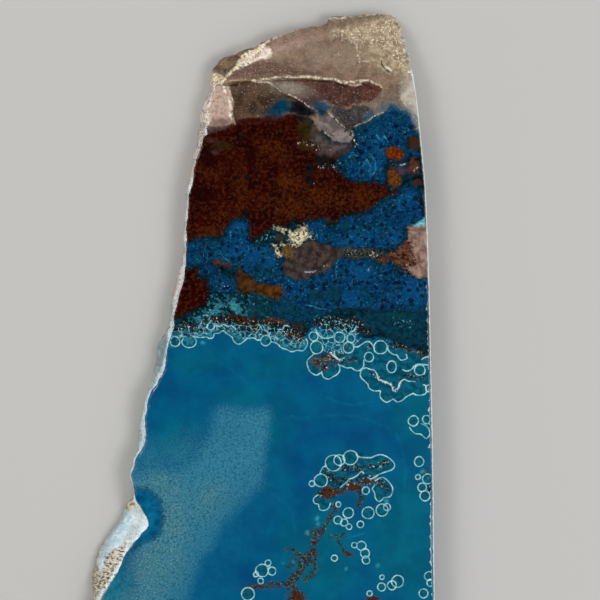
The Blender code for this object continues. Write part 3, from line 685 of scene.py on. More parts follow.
# The crest: partly the cream of the quartz, partly painted sunlight where the crest faces the light.
lay(STONE, "crest", "#ddc69c", "#fff6e6", grain="grit", edge=0.2, fray=0.9,
    patches=[[(-7, 59.3), (-6.2, 60.9), (-5, 62), (-4, 63.4), (-2.4, 64.7), (-0.8, 65.6), (0.6, 66.8),
              (1.4, 66.6), (0.4, 65.2), (-0.8, 64.2), (-2.2, 62.9), (-4, 61.9), (-5.6, 60.6)]])
lay(STONE, "crest_rose", "#cfb2a0", "#f2e2d6", edge=0.3, fray=0.8, share=0.95,
    patches=[[(-4, 61.8), (-2.2, 62.9), (-0.8, 64.2), (0.6, 65.4), (1.6, 66.4), (2.6, 65.6), (2.3, 64.2),
              (0.2, 63.5), (-2.2, 62.3)]])
lay(STONE, "left_facet", "#9c8272", "#c6aa9a", grain="grain", edge=0.2, fray=0.5,
    patches=[[(-9, 58), (-8.2, 58.7), (-7.5, 58.7), (-6.9, 58.2), (-5.5, 57.7), (-5.4, 55), (-5.1, 52),
              (-4.8, 50.6), (-9.6, 50.3), (-10.2, 53), (-9.8, 56)]])
lay(STONE, "facet_base", "#4d2f26", "#6b4a3c", edge=0.8, fray=0.6, share=0.8,
    ovals=[(-7.4, 50.9, 2.4, 0.9, 0)])
lay(STONE, "corner_rim", "#d6c6b4", "#eee2d4", grain="grit", edge=0.25, fray=0.4, share=0.95,
    patches=[[(-10.4, 56.6), (-9.9, 53.4), (-9.7, 50.8), (-12, 49), (-13.6, 49), (-12.4, 53),
              (-11.4, 56)]])
lay(STONE, "corner_specks", "#5c4030", "#8a6c58", grain="grit", edge=0.3, fray=0.8, share=0.8,
    only=("fleck", 0.5, 0.57),
    patches=[[(-13.6, 48.4), (-10.2, 48.4), (-9.8, 53), (-9.4, 56.6), (-7.4, 59.6), (-10.4, 60.4),
              (-12.4, 55)]])
lay(STONE, "facet_border", "#e8d6c2", "#fff6ea", grain="grit", edge=0.2, fray=0.5, share=0.85,
    only=("pepper", 0.42, 0.52),
    strokes=[(0.2, [(-6.6, 58.4), (-6, 55.6), (-5.6, 53.4), (-5.4, 51.4)]),
             (0.3, [(-10.9, 49), (-10.6, 52), (-9.8, 55.6), (-8.8, 58.6)])])

# %% Fine crystals all over the broken quartz
BROKEN = [QUARTZ_CAP]
lay(STONE, "pale_sugar", "#c8b09c", "#f2e6da", grain="grit", edge=0.3, fray=0.6, share=0.24,
    only=("grit", 0.56, 0.72),
    patches=BROKEN)
lay(STONE, "dark_sugar", "#4a3226", "#33221a", grain="grit", edge=0.3, fray=0.6, share=0.35,
    only=("grain", 0.52, 0.7),
    patches=BROKEN)
lay(STONE, "crest_grit", "#4c3622", "#6a5236", grain="grit", edge=0.3, fray=0.9, share=0.75,
    only=("fleck", 0.57, 0.64),
    patches=[[(-10.6, 61.2), (-9, 63), (-4.4, 65.6), (1.6, 67), (0.4, 64.2), (-4, 61.9), (-6.6, 59.4),
              (-10, 57.4), (-12.4, 49.4), (-13.4, 53)]],
    strokes=[(0.5, [(-6.3, 58.9), (-0.9, 59.1), (5, 59.8), (12.6, 59.6), (19.7, 58.6), (24.2, 57.6)])])

# %% Shade under the ledge, and painted highlights on the broken edges
lay(STONE, "ledge_shade", "#2a120c", "#4a241a", grain="grit", edge=0.35, fray=0.6, share=0.85,
    only=("pepper", 0.44, 0.54),
    strokes=[(0.25, [(-6.3, 58.5), (-3.6, 58.5), (-1.5, 58.9)]),
             (0.2, [(3, 59.4), (8, 59.4), (12.6, 59.4), (16, 58.6), (21, 58.4), (24, 57.2)])])
# Painted highlights: thin near-white lines along the broken rims, where the edges catch the light.
lay(STONE, "painted_edge_highlights", "#d9c9b8", "#fbf4ec", grain="grit", edge=0.2, fray=0.5, share=0.85,
    only=("pepper", 0.4, 0.5),
    strokes=[(0.22, [(-11.6, 51), (-11, 54), (-10, 57.4), (-9.4, 59)]),
             (0.16, [(0.8, 66.6), (3.4, 68), (6.4, 69.2), (9, 70.2), (13.6, 71.2)]),
             (0.14, [(-8.4, 63.6), (-5.6, 65.2), (-2.6, 66.2)]),
             (0.16, [(14.4, 71.9), (18, 72.4), (22, 72.9), (27.4, 73)]),
             (0.32, [(28.2, 72), (29.6, 68), (30.7, 63.4), (31.1, 60.4)])])

# %% Grey windows
LENS = [(11.9, 51.9), (12.9, 52), (14.5, 52.1), (15.9, 51), (17, 50), (18.4, 49.4), (19.4, 48.6),
        (19.1, 47.5), (18.4, 46.9), (17, 47.1), (15.2, 47.3), (13.8, 48.4), (12.7, 49.6), (12, 50.8)]
lay(STONE, "lens_shade", "#40362f", "#5c504a", edge=0.9, fray=1.0, share=0.85,
    patches=[[(11.2, 50), (12.8, 48.2), (15, 46.9), (17.6, 46.5), (18.8, 46.4), (17.2, 45.2),
              (14.4, 44.6), (12, 45.6), (10.8, 47.6)]])
lay(STONE, "lens", "#5c5350", "#8a7e7c", grain="patch", edge=0.2, fray=0.3, patches=[LENS])
lay(STONE, "window", "#2b2320", "#473c37", grain="lump", edge=0.4, fray=1.2,
    fringe=("#0b1a20", 0.4, 0.6),
    patches=[[(7.2, 26.2), (9.1, 26.8), (11.2, 27.1), (13, 26.6), (15, 26), (17, 25.6), (16.8, 24),
              (15.6, 23.4), (14.5, 22.2), (13.6, 21), (11, 20.4), (9.2, 19.6), (7.3, 19.7), (5.4, 20.6),
              (5.1, 23), (5.8, 24)]])
lay(STONE, "window_rust", "#2c100c", "#441a12", edge=0.5, fray=0.5, share=0.7,
    strokes=[(0.2, [(11.2, 25.8), (12, 24.8), (12.4, 23.6)]), (0.2, [(14.6, 25.4), (15.8, 24.8)])])
lay(STONE, "speckled_gap", "#12282c", "#474a40", grain="grit", edge=0.5, fray=1.2, share=0.9,
    patches=[[(16.6, 25.6), (18.2, 26.2), (19.4, 25.6), (21.4, 25.8), (23.4, 25.2), (25, 24.8),
              (25.8, 23.9), (24.4, 23.2), (21.6, 23.8), (18.6, 23.7), (16.8, 24)]])
lay(STONE, "purple_lens", "#33242f", "#46343f", edge=0.35, fray=0.7, ovals=[(28.7, 41.3, 1.9, 0.8, 5)])

# %% Blue clouds inside the quartz
CLOUDS = [[(10.5, 54.2), (11.1, 55.1), (12, 55.6), (13, 55.3), (13.8, 54.7), (14.6, 54.3), (15, 53.8),
           (14.5, 53.1), (13.9, 52.5), (13.5, 51.8), (12.3, 52), (11.8, 52.8), (10.9, 53.6)],
          [(1.2, 52.6), (2, 53.4), (2.8, 54.6), (3.8, 55.5), (5.2, 55.7), (6.4, 55), (6.6, 53.8),
           (5.8, 52.9), (4, 52.4), (2.4, 52)]]
lay(STONE, "black_gap", "#06070c", "#15141c", edge=0.4, fray=0.8,
    patches=[[(6.4, 54.6), (7.6, 55.2), (8.8, 54.9), (10.2, 53.9), (11.4, 52.9), (11.6, 52.2),
              (9.8, 51.9), (7.8, 52.3), (6, 52.9)]])
lay(STONE, "blue_haze", "#122c38", "#1b4150", edge=0.9, fray=0.7, share=0.7, patches=CLOUDS)
lay(STONE, "peak_haze", "#2a5568", "#3a6a7a", edge=1.1, fray=0.9, share=0.75,
    strokes=[(0.5, [(21.4, 51.6), (24, 53.2), (27, 54.2), (30, 53.2), (31.6, 51.4)])])
lay(STONE, "blue_cloud", "#002a40", "#003e58", edge=0.5, fray=1.1, share=0.95,
    patches=[[(10.9, 54.1), (11.5, 54.9), (12.2, 55.2), (13, 54.9), (13.9, 54.4), (14.5, 53.8),
              (14, 53.1), (13.4, 52.6), (13, 52), (12.3, 52.4), (11.9, 53), (11.3, 53.6)],
             [(2.8, 52.9), (3.2, 54), (4.2, 55), (5.4, 55.2), (6.1, 54.5), (6, 53.7), (5.2, 53),
              (3.9, 52.5)]])

# %% Brown jasper, pink quartz and pale sprays
lay(STONE, "brown_bar", "#2c1a0a", "#4c3014", grain="lump", edge=0.5, fray=1.6,
    fringe=("#0c1216", 0.3, 0.6),
    patches=[[(-3.9, 21.3), (-2.8, 21.1), (-1.8, 20.3), (-0.9, 19.3), (0.3, 18.5), (0.5, 17.4),
              (0.1, 16.8), (-1.4, 17.1), (-3.4, 17.3), (-3.9, 18.8)]])
lay(STONE, "orange_bar", "#311a04", "#59340c", grain="lump", edge=0.45, fray=1.5,
    fringe=("#0c1216", 0.3, 0.6),
    patches=[[(-0.2, 18.4), (1.6, 18.3), (2.8, 18.1), (4.3, 17.9), (5.1, 17.1), (5.1, 16.1), (3.9, 15.6),
              (2.2, 15.9), (0, 16.8)]])
lay(STONE, "orange_oval", "#4a1a02", "#783608", grain="fray", edge=0.2, fray=0.4,
    fringe=("#0b1018", 0.3, 0.7),
    patches=[[(25.2, 44.5), (26, 45.4), (27, 45.9), (28, 45.7), (28.8, 45), (29.1, 44.4), (28.4, 43.7),
              (27.2, 43.3), (26.1, 43.7)]])
lay(STONE, "orange_bump", "#3c1c05", "#6e400f", grain="grit", edge=0.3, fray=0.9,
    ovals=[(27.1, 39.7, 1.1, 1.8, 10)])
lay(STONE, "brown_knots", "#3a1f14", "#553022", grain="patch", edge=0.35, fray=0.9,
    ovals=[(31.2, 46.7, 1.1, 1.4, 0), (31.1, 42.1, 1.0, 1.4, 0), (32.1, 38.9, 1.1, 0.6, 10),
           (-8.4, 22.8, 0.8, 0.5, 0), (-6.4, 22.5, 1.0, 0.35, -10), (24.9, 23.7, 0.9, 0.8, 0)])
lay(STONE, "pink_quartz", "#6f554b", "#9b8074", grain="lump", edge=0.3, fray=0.8,
    fringe=("#101a22", 0.4, 0.6),
    patches=[[(30, 30), (31, 30.3), (32.4, 30.6), (40, 30.2), (40, 20.2), (32.6, 19.9), (31, 20.4),
              (30.2, 21.6), (29.2, 24), (29.6, 26.6), (30.2, 28.4)]])
lay(STONE, "red_crystals", "#260c08", "#6a4430", grain="pepper", edge=0.4, fray=1.8,
    patches=[[(29.3, 27.1), (30.4, 27.2), (31.2, 25.7), (31.6, 24.1), (32, 22.9), (30.7, 22.2),
              (29.8, 22.4), (29.9, 21.2), (29.3, 21.5), (27.4, 22.9), (26.3, 23.5), (26, 24.7),
              (27.7, 25.3), (28.8, 26.3)]])
lay(STONE, "pale_wedge", "#3f93a6", "#7cc0ca", grain="grit", edge=0.25, fray=0.5,
    patches=[[(30.4, 30.3), (31.6, 30.8), (33.4, 31.9), (36, 32), (36, 30.4), (33.4, 30.4),
              (32.3, 30.2)]])
lay(STONE, "rust_tail", "#270e06", "#50240f", grain="patch", edge=0.3, fray=1.0,
    fringe=("#0a0d0f", 0.3, 0.6),
    patches=[[(-5.9, 12.2), (-4.6, 12.5), (-3.2, 11.9), (-2.4, 10.9), (-2.6, 10.1), (-3.8, 10.3),
              (-5, 11)]],
    strokes=[(0.28, [(-9.1, 11.9), (-7.8, 11.5), (-6.3, 11.2)])])
lay(STONE, "brown_tail", "#38231a", "#6a4834", grain="grit", edge=0.3, fray=0.6,
    only=("pepper", 0.42, 0.52),
    strokes=[(0.5, [(1.4, 11.2), (3.4, 11.3), (5.6, 10.8)]), (0.7, [(5, 8.6), (7, 8.6), (8.9, 7.6)])])
lay(STONE, "dark_ovals", "#1c1c1a", "#33302a", grain="patch", edge=0.2, fray=0.5,
    ovals=[(-1.1, 10.9, 1.15, 1.45, 0), (7.9, 10.4, 1.1, 0.6, -20), (4.2, 28, 1.2, 0.7, 10)])
lay(STONE, "teal_blobs", "#1e5a68", "#3f8c98", grain="grit", edge=0.3, fray=0.9,
    patches=[[(-5.8, 15.1), (-4.9, 15.5), (-4.1, 14.6), (-3.4, 13.4), (-3.7, 12.7), (-4.7, 13),
              (-5.5, 14)]],
    ovals=[(-7.5, 14.4, 0.8, 0.5, 30), (-11.6, 11.3, 1.0, 0.6, -50), (-8.6, 13.1, 1.2, 0.4, 10),
           (1.1, 9.7, 0.7, 0.8, 0)])
lay(STONE, "tan_spray", "#3f2e16", "#6e5430", grain="grit", edge=0.4, fray=0.9,
    ovals=[(5.9, 25.2, 1.4, 1.2, -30)])
lay(STONE, "cream_spray", "#8f8460", "#e2d8b4", grain="fleck", cut=(0.4, 0.56), edge=0.35, fray=1.2,
    share=0.9, only=("pepper", 0.36, 0.48),
    patches=[[(6.2, 28.9), (7.4, 29.3), (8.5, 29.9), (9.7, 30.2), (10, 28.9), (11, 28.1), (10, 27.6),
              (9.1, 27), (8.1, 26.5), (7.2, 26.8), (6.4, 27.6), (6, 28.1)]],
    strokes=[(0.35, [(3.2, 26.2), (4, 25.2), (4.3, 24.6)]),
             (0.25, [(3.4, 29.9), (4.8, 29.7), (6.2, 29.2)]),
             (0.2, [(4.8, 26.6), (6.4, 26.6), (7.6, 26.2)])])

# %% [markdown]
# ## The banded stone
#
# Chalcedony grew outward in thin shells round each ball of copper mineral. Inside the last shell the stone
# is darker and greener, and along the contact with the rock it is a lace of small shells.

# %% The stone inside the shells
lay(STONE, "shell_stone", "#013c50", "#0b6072", grain="lump", edge=0.25, fray=0.2, share=0.8,
    patches=[[(10.4, 5.2), (10, 3.45), (9.9, 2.5), (10.4, 1.2), (11.6, 0.4), (13.1, 0), (14.05, -0.4),
              (14.8, 0), (15.8, 0.5), (16.3, 2.2), (17.7, 1.8), (18.6, 1.9), (19.8, 1.25), (20.5, 0.4),
              (21.3, -0.8), (22.2, -2.2), (24.4, -2.8), (24.5, -4), (25.9, -5), (27, -4.3), (28.3, -4.9),
              (31, -3.25), (33, -3.6), (36, -3), (36, 4), (33, 4.6), (30, 5.4), (28, 6), (26.4, 7.2),
              (24.5, 7.6), (22, 7.4), (19.5, 7.5), (17, 9), (13, 9), (10.5, 8.8)],
             [(11.4, -21.5), (11.5, -20), (12.9, -18.2), (13.6, -16.4), (15.6, -15.6), (17.4, -14.9),
              (19.6, -15.2), (22.7, -16.1), (24.4, -15.5), (25.8, -15.9), (27.1, -17.1), (27.3, -17.9),
              (26.5, -18.7), (24.7, -19.2), (25.8, -20.6), (26.8, -21.8), (26.6, -23.6), (24.3, -24.9),
              (22.8, -22.6), (20.6, -20.6), (18.2, -20.4), (16.4, -22.4), (14.6, -25), (13.2, -26.7),
              (11.4, -25.2), (12.4, -23.2)]])
lay(STONE, "contact_teal", "#083e4e", "#22788a", grain="lump", edge=0.25, fray=0.8, share=0.9,
    patches=[[(-18, 6.6), (-16.6, 6.1), (-15.4, 7.2), (-13.8, 5.9), (-12.4, 7.6), (-10.3, 7.9), (-9, 7.7),
              (-8.6, 8.7), (-7, 9.2), (-6, 8.4), (-5.2, 7.9), (-4.8, 7.1), (-3.9, 6.6), (-2.8, 7.1),
              (-2.2, 7.7), (-0.8, 7.7), (0.4, 7.2), (1.6, 6.3), (2.7, 7), (3.9, 6.6), (4.7, 5.8),
              (6.9, 5.1), (8.9, 5.4), (9.9, 6.4), (9.7, 7.8), (8.4, 7.2), (6.6, 7.8), (5, 8.6),
              (3.2, 8.9), (2.2, 9.2), (1, 10.6), (0.2, 9.4), (-1.6, 8.8), (-3.6, 9.3), (-4.6, 9.8),
              (-5.4, 10.2), (-6.9, 10.5), (-8.4, 10.3), (-9.8, 10.2), (-10.8, 9.2), (-13, 9.2),
              (-15.4, 9), (-18, 8.6)]])
lay(STONE, "contact_lace", "#5fa6b4", "#a4dbe2", grain="grit", edge=0.2, fray=0.9, share=0.7,
    only=("lace", 0.155, 0.09),
    patches=[[(-18, 7), (-15, 7.4), (-10, 8.3), (-8, 9.6), (-5, 8.6), (-3, 7.4), (0, 8), (3, 7.4),
              (6.9, 5.8), (9.6, 6.6), (9, 8.4), (5, 9.4), (1, 10.6), (-3, 10.2), (-8, 11.6), (-12, 10.4),
              (-18, 9.6)],
             [(10.6, 9.4), (12, 6.8), (14.4, 4.8), (17.4, 4.6), (20.4, 7), (19.6, 10.4), (15, 11)]])

# %% [markdown]
# ## Crumbs
#
# Where two minerals met, the rock is crumbly: dark and pale grains of a third of a millimetre lie side by
# side. One glaze lays dark crumbs, one cream ones and one the colour of pale copper salts.

# %% Dark, cream and pale blue crumbs
CRUMB_LINES = [(0.9, [(11.6, 3.2), (13, 3.6), (14.8, 4)]), (0.5, [(12.6, 1.8), (13.8, 2)]),
               (0.4, [(15.6, 2.9), (17.4, 3.2), (19.8, 3.6)]),
               (0.5, [(27.4, 6.6), (29.4, 5.6), (31, 5), (34.2, 3.9)]),
               (0.3, [(22.6, 0.9), (24, 0), (25.4, -1), (27.2, -2.2)]),
               (0.3, [(28.4, -0.8), (30, 0.2), (32, -0.4), (33.4, 0.2)]),
               (0.7, [(16.6, -18.2), (19, -18), (20.2, -18.6)]),
               (0.5, [(20.6, -18.6), (23.2, -17.9), (25.6, -17.2)]),
               (0.8, [(13.6, -19.2), (14.8, -20.4), (17.4, -20.6)]),
               (1.0, [(12.4, -23.6), (15.6, -22.6), (19, -21.4), (22, -20.6), (24, -20.8)]),
               (0.5, [(24.6, -21.2), (25.4, -22.6)]), (0.6, [(14.6, 10), (17.6, 10.3), (20.4, 9.6)]),
               (0.5, [(17.6, 24.8), (22, 24.6), (25, 24)]),
               (0.35, [(12, 42.2), (13.4, 42.1), (14.8, 42.2)]), (0.35, [(26.1, 42.6), (27.3, 42.6)]),
               (0.6, [(8.6, 47), (10.2, 46.8), (11.8, 46)]), (0.4, [(16.6, 3.4), (17.4, 6.6)]),
               (0.5, [(17.6, 49.2), (19.6, 48), (19.4, 46.6)]), (0.6, [(5, 8.8), (8.6, 7.8)]),
               (0.5, [(33.6, -19), (34.2, -21), (33.6, -23)]), (0.3, [(-12.6, 9.8), (-15.6, 11.2)]),
               (0.5, [(-17, 9.6), (-13, 10.2), (-10.6, 11.4), (-6, 11.6), (-2, 10.6), (2, 11), (5, 10.2),
                      (9, 8.8)]),
               (0.35, [(-16.4, 8), (-12.6, 8.9), (-9.4, 9.9), (-4, 9.3), (1, 8.9), (6, 8), (9, 7)]),
               (0.6, [(11.6, 10.6), (15, 11.4), (19.4, 11), (22, 9)]),
               (0.4, [(22.4, 6.2), (25, 7), (27.6, 6)])]
lay(STONE, "dark_crumbs", "#060708", "#21160f", grain="grit", edge=0.3, fray=0.9, share=0.9,
    only=("pepper", 0.42, 0.54),
    strokes=CRUMB_LINES)
lay(STONE, "brown_crumbs", "#43240f", "#7a4c24", grain="grit", edge=0.3, fray=0.6, share=0.85,
    only=("grain", 0.5, 0.6),
    strokes=CRUMB_LINES[:4] + [(0.4, [(8.6, 47), (11.8, 46)]), (0.9, [(18.6, -21.6), (20.2, -21.4)])])
lay(STONE, "cream_crumbs", "#968c76", "#ece6d4", grain="grain", edge=0.3, fray=0.9, share=0.75,
    only=("fleck", 0.58, 0.66),
    strokes=CRUMB_LINES + [(0.25, [(12.3, 22.4), (13.9, 22)]), (0.4, [(29.6, 22.6), (30.4, 21.8)])])
lay(STONE, "copper_crumbs", "#2f8494", "#86ccd4", grain="lump", edge=0.3, fray=0.9, share=0.75,
    only=("fleck", 0.56, 0.64),
    strokes=[(0.7, [(-12, 10.2), (-9, 13.6), (-6, 14.6)]), (0.6, [(9.8, 29.9), (11.4, 28.2)]),
             (0.5, [(0.4, 27.6), (3, 28.8)]), (0.5, [(-8.6, 18), (-5, 18)]),
             (0.6, [(27.4, 11.2), (30.4, 10.4)]), (0.6, [(12, 11.6), (16, 11), (19, 10)]),
             (0.4, [(15.6, 22), (16.4, 20.4)]), (0.4, [(32.9, 41), (33.4, 39.6)]),
             (0.5, [(16, 42.8), (15.8, 41.4)]), (0.4, [(20.6, 48.8), (21.2, 48)]),
             (0.4, [(-14.6, 26.4), (-14.9, 23.8)])])
lay(STONE, "glints", "#b8c4c4", "#eef2f0", edge=0.12, fray=0.1, share=0.8, only=("grit", 0.4, 0.52),
    ovals=[(22.3, 21.5, 0.1, 0.32, 0), (-0.9, 15, 0.1, 0.36, 0), (29.5, 49, 0.14, 0.14, 0),
           (14.3, 45.4, 0.16, 0.14, 0), (-9.4, 11.6, 0.16, 0.16, 0), (11.3, 38.7, 0.14, 0.12, 0),
           (12.8, 22, 0.2, 0.14, 30)],
    strokes=[(0.1, [(9.5, 21.2), (10.4, 21), (11.4, 21)]), (0.12, [(28.3, 42.6), (29.9, 42.8)]),
             (0.1, [(31.2, 41.2), (31.8, 41.8)])])

# %% [markdown]
# ## Ferns and bubbles
#
# Manganese and iron crept along cracks and left brown fern shapes, called dendrites. Where the saw cut a
# ball of chalcedony, its last shell shows as a pale ring.

# %% Ferns of manganese and iron
FERNS = [(0.45, [(15.5, -25.4), (15.2, -26.8), (14.2, -28.4), (13.15, -30.2)]),
         (0.7, [(13.15, -30.2), (11.8, -31.9), (11.2, -33.4), (11.2, -35.3)]),
         (0.95, [(11.2, -35.3), (9.6, -37), (8, -39.3)]),
         (0.8, [(8, -39.3), (6.4, -41), (7, -42.4), (8, -43.8), (9, -47)]),
         (0.35, [(8.8, -35.6), (7.4, -34.8), (6, -34.6)]),
         (0.4, [(11.2, -36.6), (11.6, -38.6), (9.6, -40.6)]),
         (0.3, [(13, -30.4), (11.4, -30.6), (9.9, -31.4)]),
         (0.3, [(9.6, -36.6), (7.6, -36.4), (6.2, -38)]),
         (0.22, [(15.6, -31.6), (16.6, -33.2), (17.6, -34.8), (18.1, -35.4)]),
         (0.2, [(17.2, -31.2), (15.9, -32.3), (14.7, -31.8)]),
         (0.4, [(-1.9, -42), (1.2, -41.9), (4.5, -41.6), (6, -42.2)]),
         (0.35, [(19.8, -22), (20.6, -24.2), (20, -25.8)]), (0.3, [(22, -44.6), (24, -44.2)])]
lay(STONE, "fern_shade", "#0a4a58", "#125c68", edge=0.9, fray=0.7, share=0.7, strokes=FERNS)
lay(STONE, "fern", "#17100c", "#44291a", grain="grit", edge=0.3, fray=1.1, share=0.92,
    only=("pepper", 0.4, 0.5),
    strokes=FERNS)
lay(STONE, "fern_crumbs", "#5a4c40", "#8a9490", grain="lump", edge=0.3, fray=0.9, share=0.6,
    only=("grit", 0.56, 0.64),
    strokes=FERNS)
lay(STONE, "iron_spots", "#2a140b", "#52301a", grain="grit", edge=0.35, fray=1.2,
    ovals=[(22.9, -44.5, 1.5, 0.8, 0), (14.1, -23.1, 1.2, 0.9, 10), (19.4, -22, 1.3, 0.9, 20),
           (7.6, -44.2, 1.7, 1.1, 0), (18.1, -35.4, 0.6, 0.45, 0), (33.6, -23.4, 0.8, 0.6, 0),
           (22.4, -20.9, 0.9, 0.35, -10), (0.6, -42.1, 2.4, 0.3, 0), (16.4, -23, 0.9, 0.5, 0),
           (-2, -42.6, 0.6, 0.4, 0)])
lay(STONE, "blurred_bubbles", "#2c8ba0", "#3f9cae", edge=0.35, fray=0.15, share=0.7,
    ovals=[(11.9, -28.2, 0.4, 0.4, 0), (12.1, -29.3, 0.35, 0.35, 0), (9.9, -31.1, 0.4, 0.35, 0),
           (7.2, -37, 0.35, 0.35, 0), (17.5, -38.3, 0.35, 0.35, 0), (24.1, -37.7, 0.35, 0.3, 0),
           (16.2, -28.4, 0.3, 0.3, 0), (-11.1, 6.9, 0.5, 0.4, 0), (5.2, -37.4, 0.3, 0.25, 0),
           (33, -19, 0.35, 0.35, 0), (25.9, -24.9, 0.5, 0.4, 0)])

# %% Bubbles cut by the saw
BUBBLES = [(11.1, 8.1, 0.9), (16.3, 8, 1.05), (11.7, 5.9, 1.25), (18.1, 5.9, 1.1), (18.6, 7.7, 0.85),
           (22.2, 4, 0.95), (24.5, 5.95, 1.3), (32.4, 1.35, 1.05), (34.3, -2.3, 0.7), (31.1, -8.8, 1.0),
           (33.7, -8.5, 0.8), (10.8, -21.3, 0.6), (12.6, -20.7, 1.3), (15.1, -17.2, 1.6),
           (16.3, -16.6, 1.1), (18.5, -16.1, 1.45), (21.6, -22.7, 0.7), (16.1, -25.5, 0.5),
           (18.1, -27.2, 1.05), (22, -27.2, 1.2), (24.8, -26.6, 1.2), (25.8, -26, 0.7), (16, -28.6, 0.8),
           (17.2, -29.1, 0.7), (18.2, -30, 0.55), (20.5, -29.5, 0.65), (19.3, -33.6, 0.55),
           (20.7, -33.8, 0.9), (21.4, -35.3, 0.9), (21.6, -36.6, 0.8), (15.3, -36.2, 0.6),
           (0.8, -38.7, 1.25), (2, -37.2, 0.6), (2.8, -38.8, 0.8), (-0.4, -39.5, 0.5), (0.5, -40.8, 0.55),
           (-2, -43.4, 1.3), (24.8, -40, 0.45), (24.7, -42, 0.8), (26.8, -41.7, 0.9), (27.9, -40.9, 1.2),
           (22.3, -43.3, 0.55), (32.2, -16.9, 0.95), (32, -20, 0.5), (33.9, -20.4, 1.0),
           (32.8, -22.1, 0.85), (33.4, -23.8, 1.0), (34.2, -39.8, 0.9), (34.5, -41.2, 0.7),
           (33.1, -43.3, 0.9), (-16.6, 7.1, 1.0), (1.57, 7.3, 1.02), (-9.4, 10.1, 0.7)]
lay(STONE, "bubble_hearts", "#014658", "#086074", grain="lump", edge=0.2, fray=0.1, share=0.8,
    wander=ripple,
    ovals=[(x, y, radius, radius, 0) for x, y, radius in BUBBLES])


def circle(x, y, half_wide, half_high, start=0.0, end=360.0):
    turns = [math.radians(start + (end - start) * step / 12.0) for step in range(13)]
    return [(x + half_wide * math.cos(turn), y + half_high * math.sin(turn)) for turn in turns]


# %% Chains of shells
CHAINS = [circle(26.7, 2.0, 0.95, 1.2), circle(-13.76, 7.1, 1.45, 1.2, 150.0, 420.0),
          [(-12.9, 8.2), (-12.4, 8.1), (-11.5, 7.9), (-10.3, 8), (-9.7, 7.7), (-8.9, 7.9), (-8.7, 8.6),
           (-7.9, 8.8), (-7.1, 9.3)],
          [(-7, 9.3), (-5.95, 8.5), (-5.15, 8), (-4.75, 7.1), (-3.9, 6.6), (-2.8, 7.1), (-2.2, 7.7)],
          [(-2.2, 7.7), (-1.6, 7.8), (-0.8, 7.8), (-0.2, 7.4), (0.5, 7.4)],
          [(2.6, 7), (3.9, 6.7), (4.7, 5.8), (5.7, 5.5), (6.9, 5.1), (7.9, 5.4), (8.9, 5.3), (9.7, 6.1),
           (9.9, 6.9), (9.6, 7.6)],
          [(-10.3, 9.9), (-9.9, 10.7), (-9.3, 11.4)],
          [(-8.5, 10.3), (-7.5, 10.1), (-6.9, 10.6), (-6, 10.1), (-5.2, 10.2), (-4.4, 9.5)],
          [(4, 9.5), (4.9, 9.5), (5.3, 10.3), (6.3, 10.1)], [(2.2, 8.2), (2.5, 9)],
          [(11.5, 9.6), (12.1, 8.5), (12.7, 7.9), (13.7, 7.7), (15.4, 8.2)],
          [(19.7, 10.2), (19.2, 9.3), (18.2, 8.7)],
          [(11.1, 4.5), (10, 3.45), (9.9, 2.5), (10.4, 1.2), (11.6, 0.4), (12.5, 0.8)],
          [(12.7, 1), (13.1, 0), (14.05, -0.4), (14.8, 0)],
          [(14.8, 0), (15.8, 0.5), (16.35, 1.2), (16.35, 2.1), (16, 2.5)],
          [(16.4, 2.4), (17.7, 1.8), (18.6, 1.9)],
          [(18.6, 1.9), (19.8, 1.25), (20.65, 1.6), (21.2, 2.3), (21.1, 3.45)],
          [(15.2, 5.2), (15.3, 4.3), (16.2, 3.5), (17.2, 3.9)],
          [(19.4, 6.1), (19.9, 6), (20.9, 6.7), (22, 7.1), (22.7, 6.7), (23.3, 5.7)],
          [(26.0, 6.3), (26.1, 5.4), (27.1, 4.5), (27.8, 4.4)],
          [(27.8, 4.4), (28.4, 3.45), (29.2, 3.45), (29.8, 3.8), (29.6, 4.6)],
          [(29, 1.5), (29.6, 1.15), (30.5, 1.4), (31.3, 2.1)],
          [(31.3, 2.1), (31.9, 2.5), (33, 2.5), (34.8, 2.3)], [(32.8, 3.5), (33.4, 3.9), (34.8, 4.2)],
          [(23.9, 0.4), (23.3, 1.3), (22.5, 1.5), (21.5, 1.8), (20.65, 1.35), (20.4, 0.5), (20.6, -0.2),
           (21.3, -0.8), (22, -1.5)],
          [(22, -1.5), (22.2, -2.2), (23.2, -2.7), (24.5, -2.7)],
          [(24.6, -2.8), (24.45, -3.8), (25, -4.7), (25.9, -5), (27, -4.3)],
          [(27, -4.3), (27.8, -5), (28.8, -4.7), (29.7, -3.9), (31, -3.25)],
          [(31, -3.25), (31.8, -3.6), (33, -3.6), (33.7, -3.1), (33.6, -1.9), (33, -1.5)],
          [(27.9, -2.5), (28.3, -1.3), (29.2, -0.5), (30.1, -0.85), (31.5, -1)],
          [(30.3, -10.1), (31.3, -11.3), (32.6, -11.5), (33.6, -12.3), (34.4, -11.3), (33.8, -9.9),
           (32.6, -9.4)],
          [(19.7, -15.6), (20.4, -16.1), (21.4, -16.1), (22.7, -16.1)],
          [(22.7, -16.1), (24.4, -15.5), (25.8, -15.9), (27.1, -17.1), (27.3, -17.9), (26.5, -18.7),
           (24.7, -19.2), (23.6, -19.9)],
          [(23.6, -19.9), (22.6, -20.4), (21.9, -20.1)],
          [(21.2, -19.3), (20.7, -18.9), (20, -19.6), (19.2, -20.1), (18.2, -20.4)],
          [(18.2, -20.4), (17.6, -21.2), (16.4, -22.2)],
          [(23.4, -20.8), (24.7, -20), (25.8, -20.6), (26.8, -21.8), (26.9, -22.7), (26.4, -23.9),
           (25.2, -24.1)],
          [(25.2, -24.1), (24.3, -24.9), (23.5, -24.4), (23.3, -23.2), (22.9, -22.4), (23.4, -21.6)],
          [(11.9, -23.6), (11.1, -24.3), (11.3, -25.2), (12.1, -25.5)],
          [(12.1, -25.5), (12.3, -26.5), (13.2, -26.7), (14.1, -26.3), (14.5, -25.2)],
          [(12.4, -19.2), (12.9, -18.2), (13.7, -17.8)]]
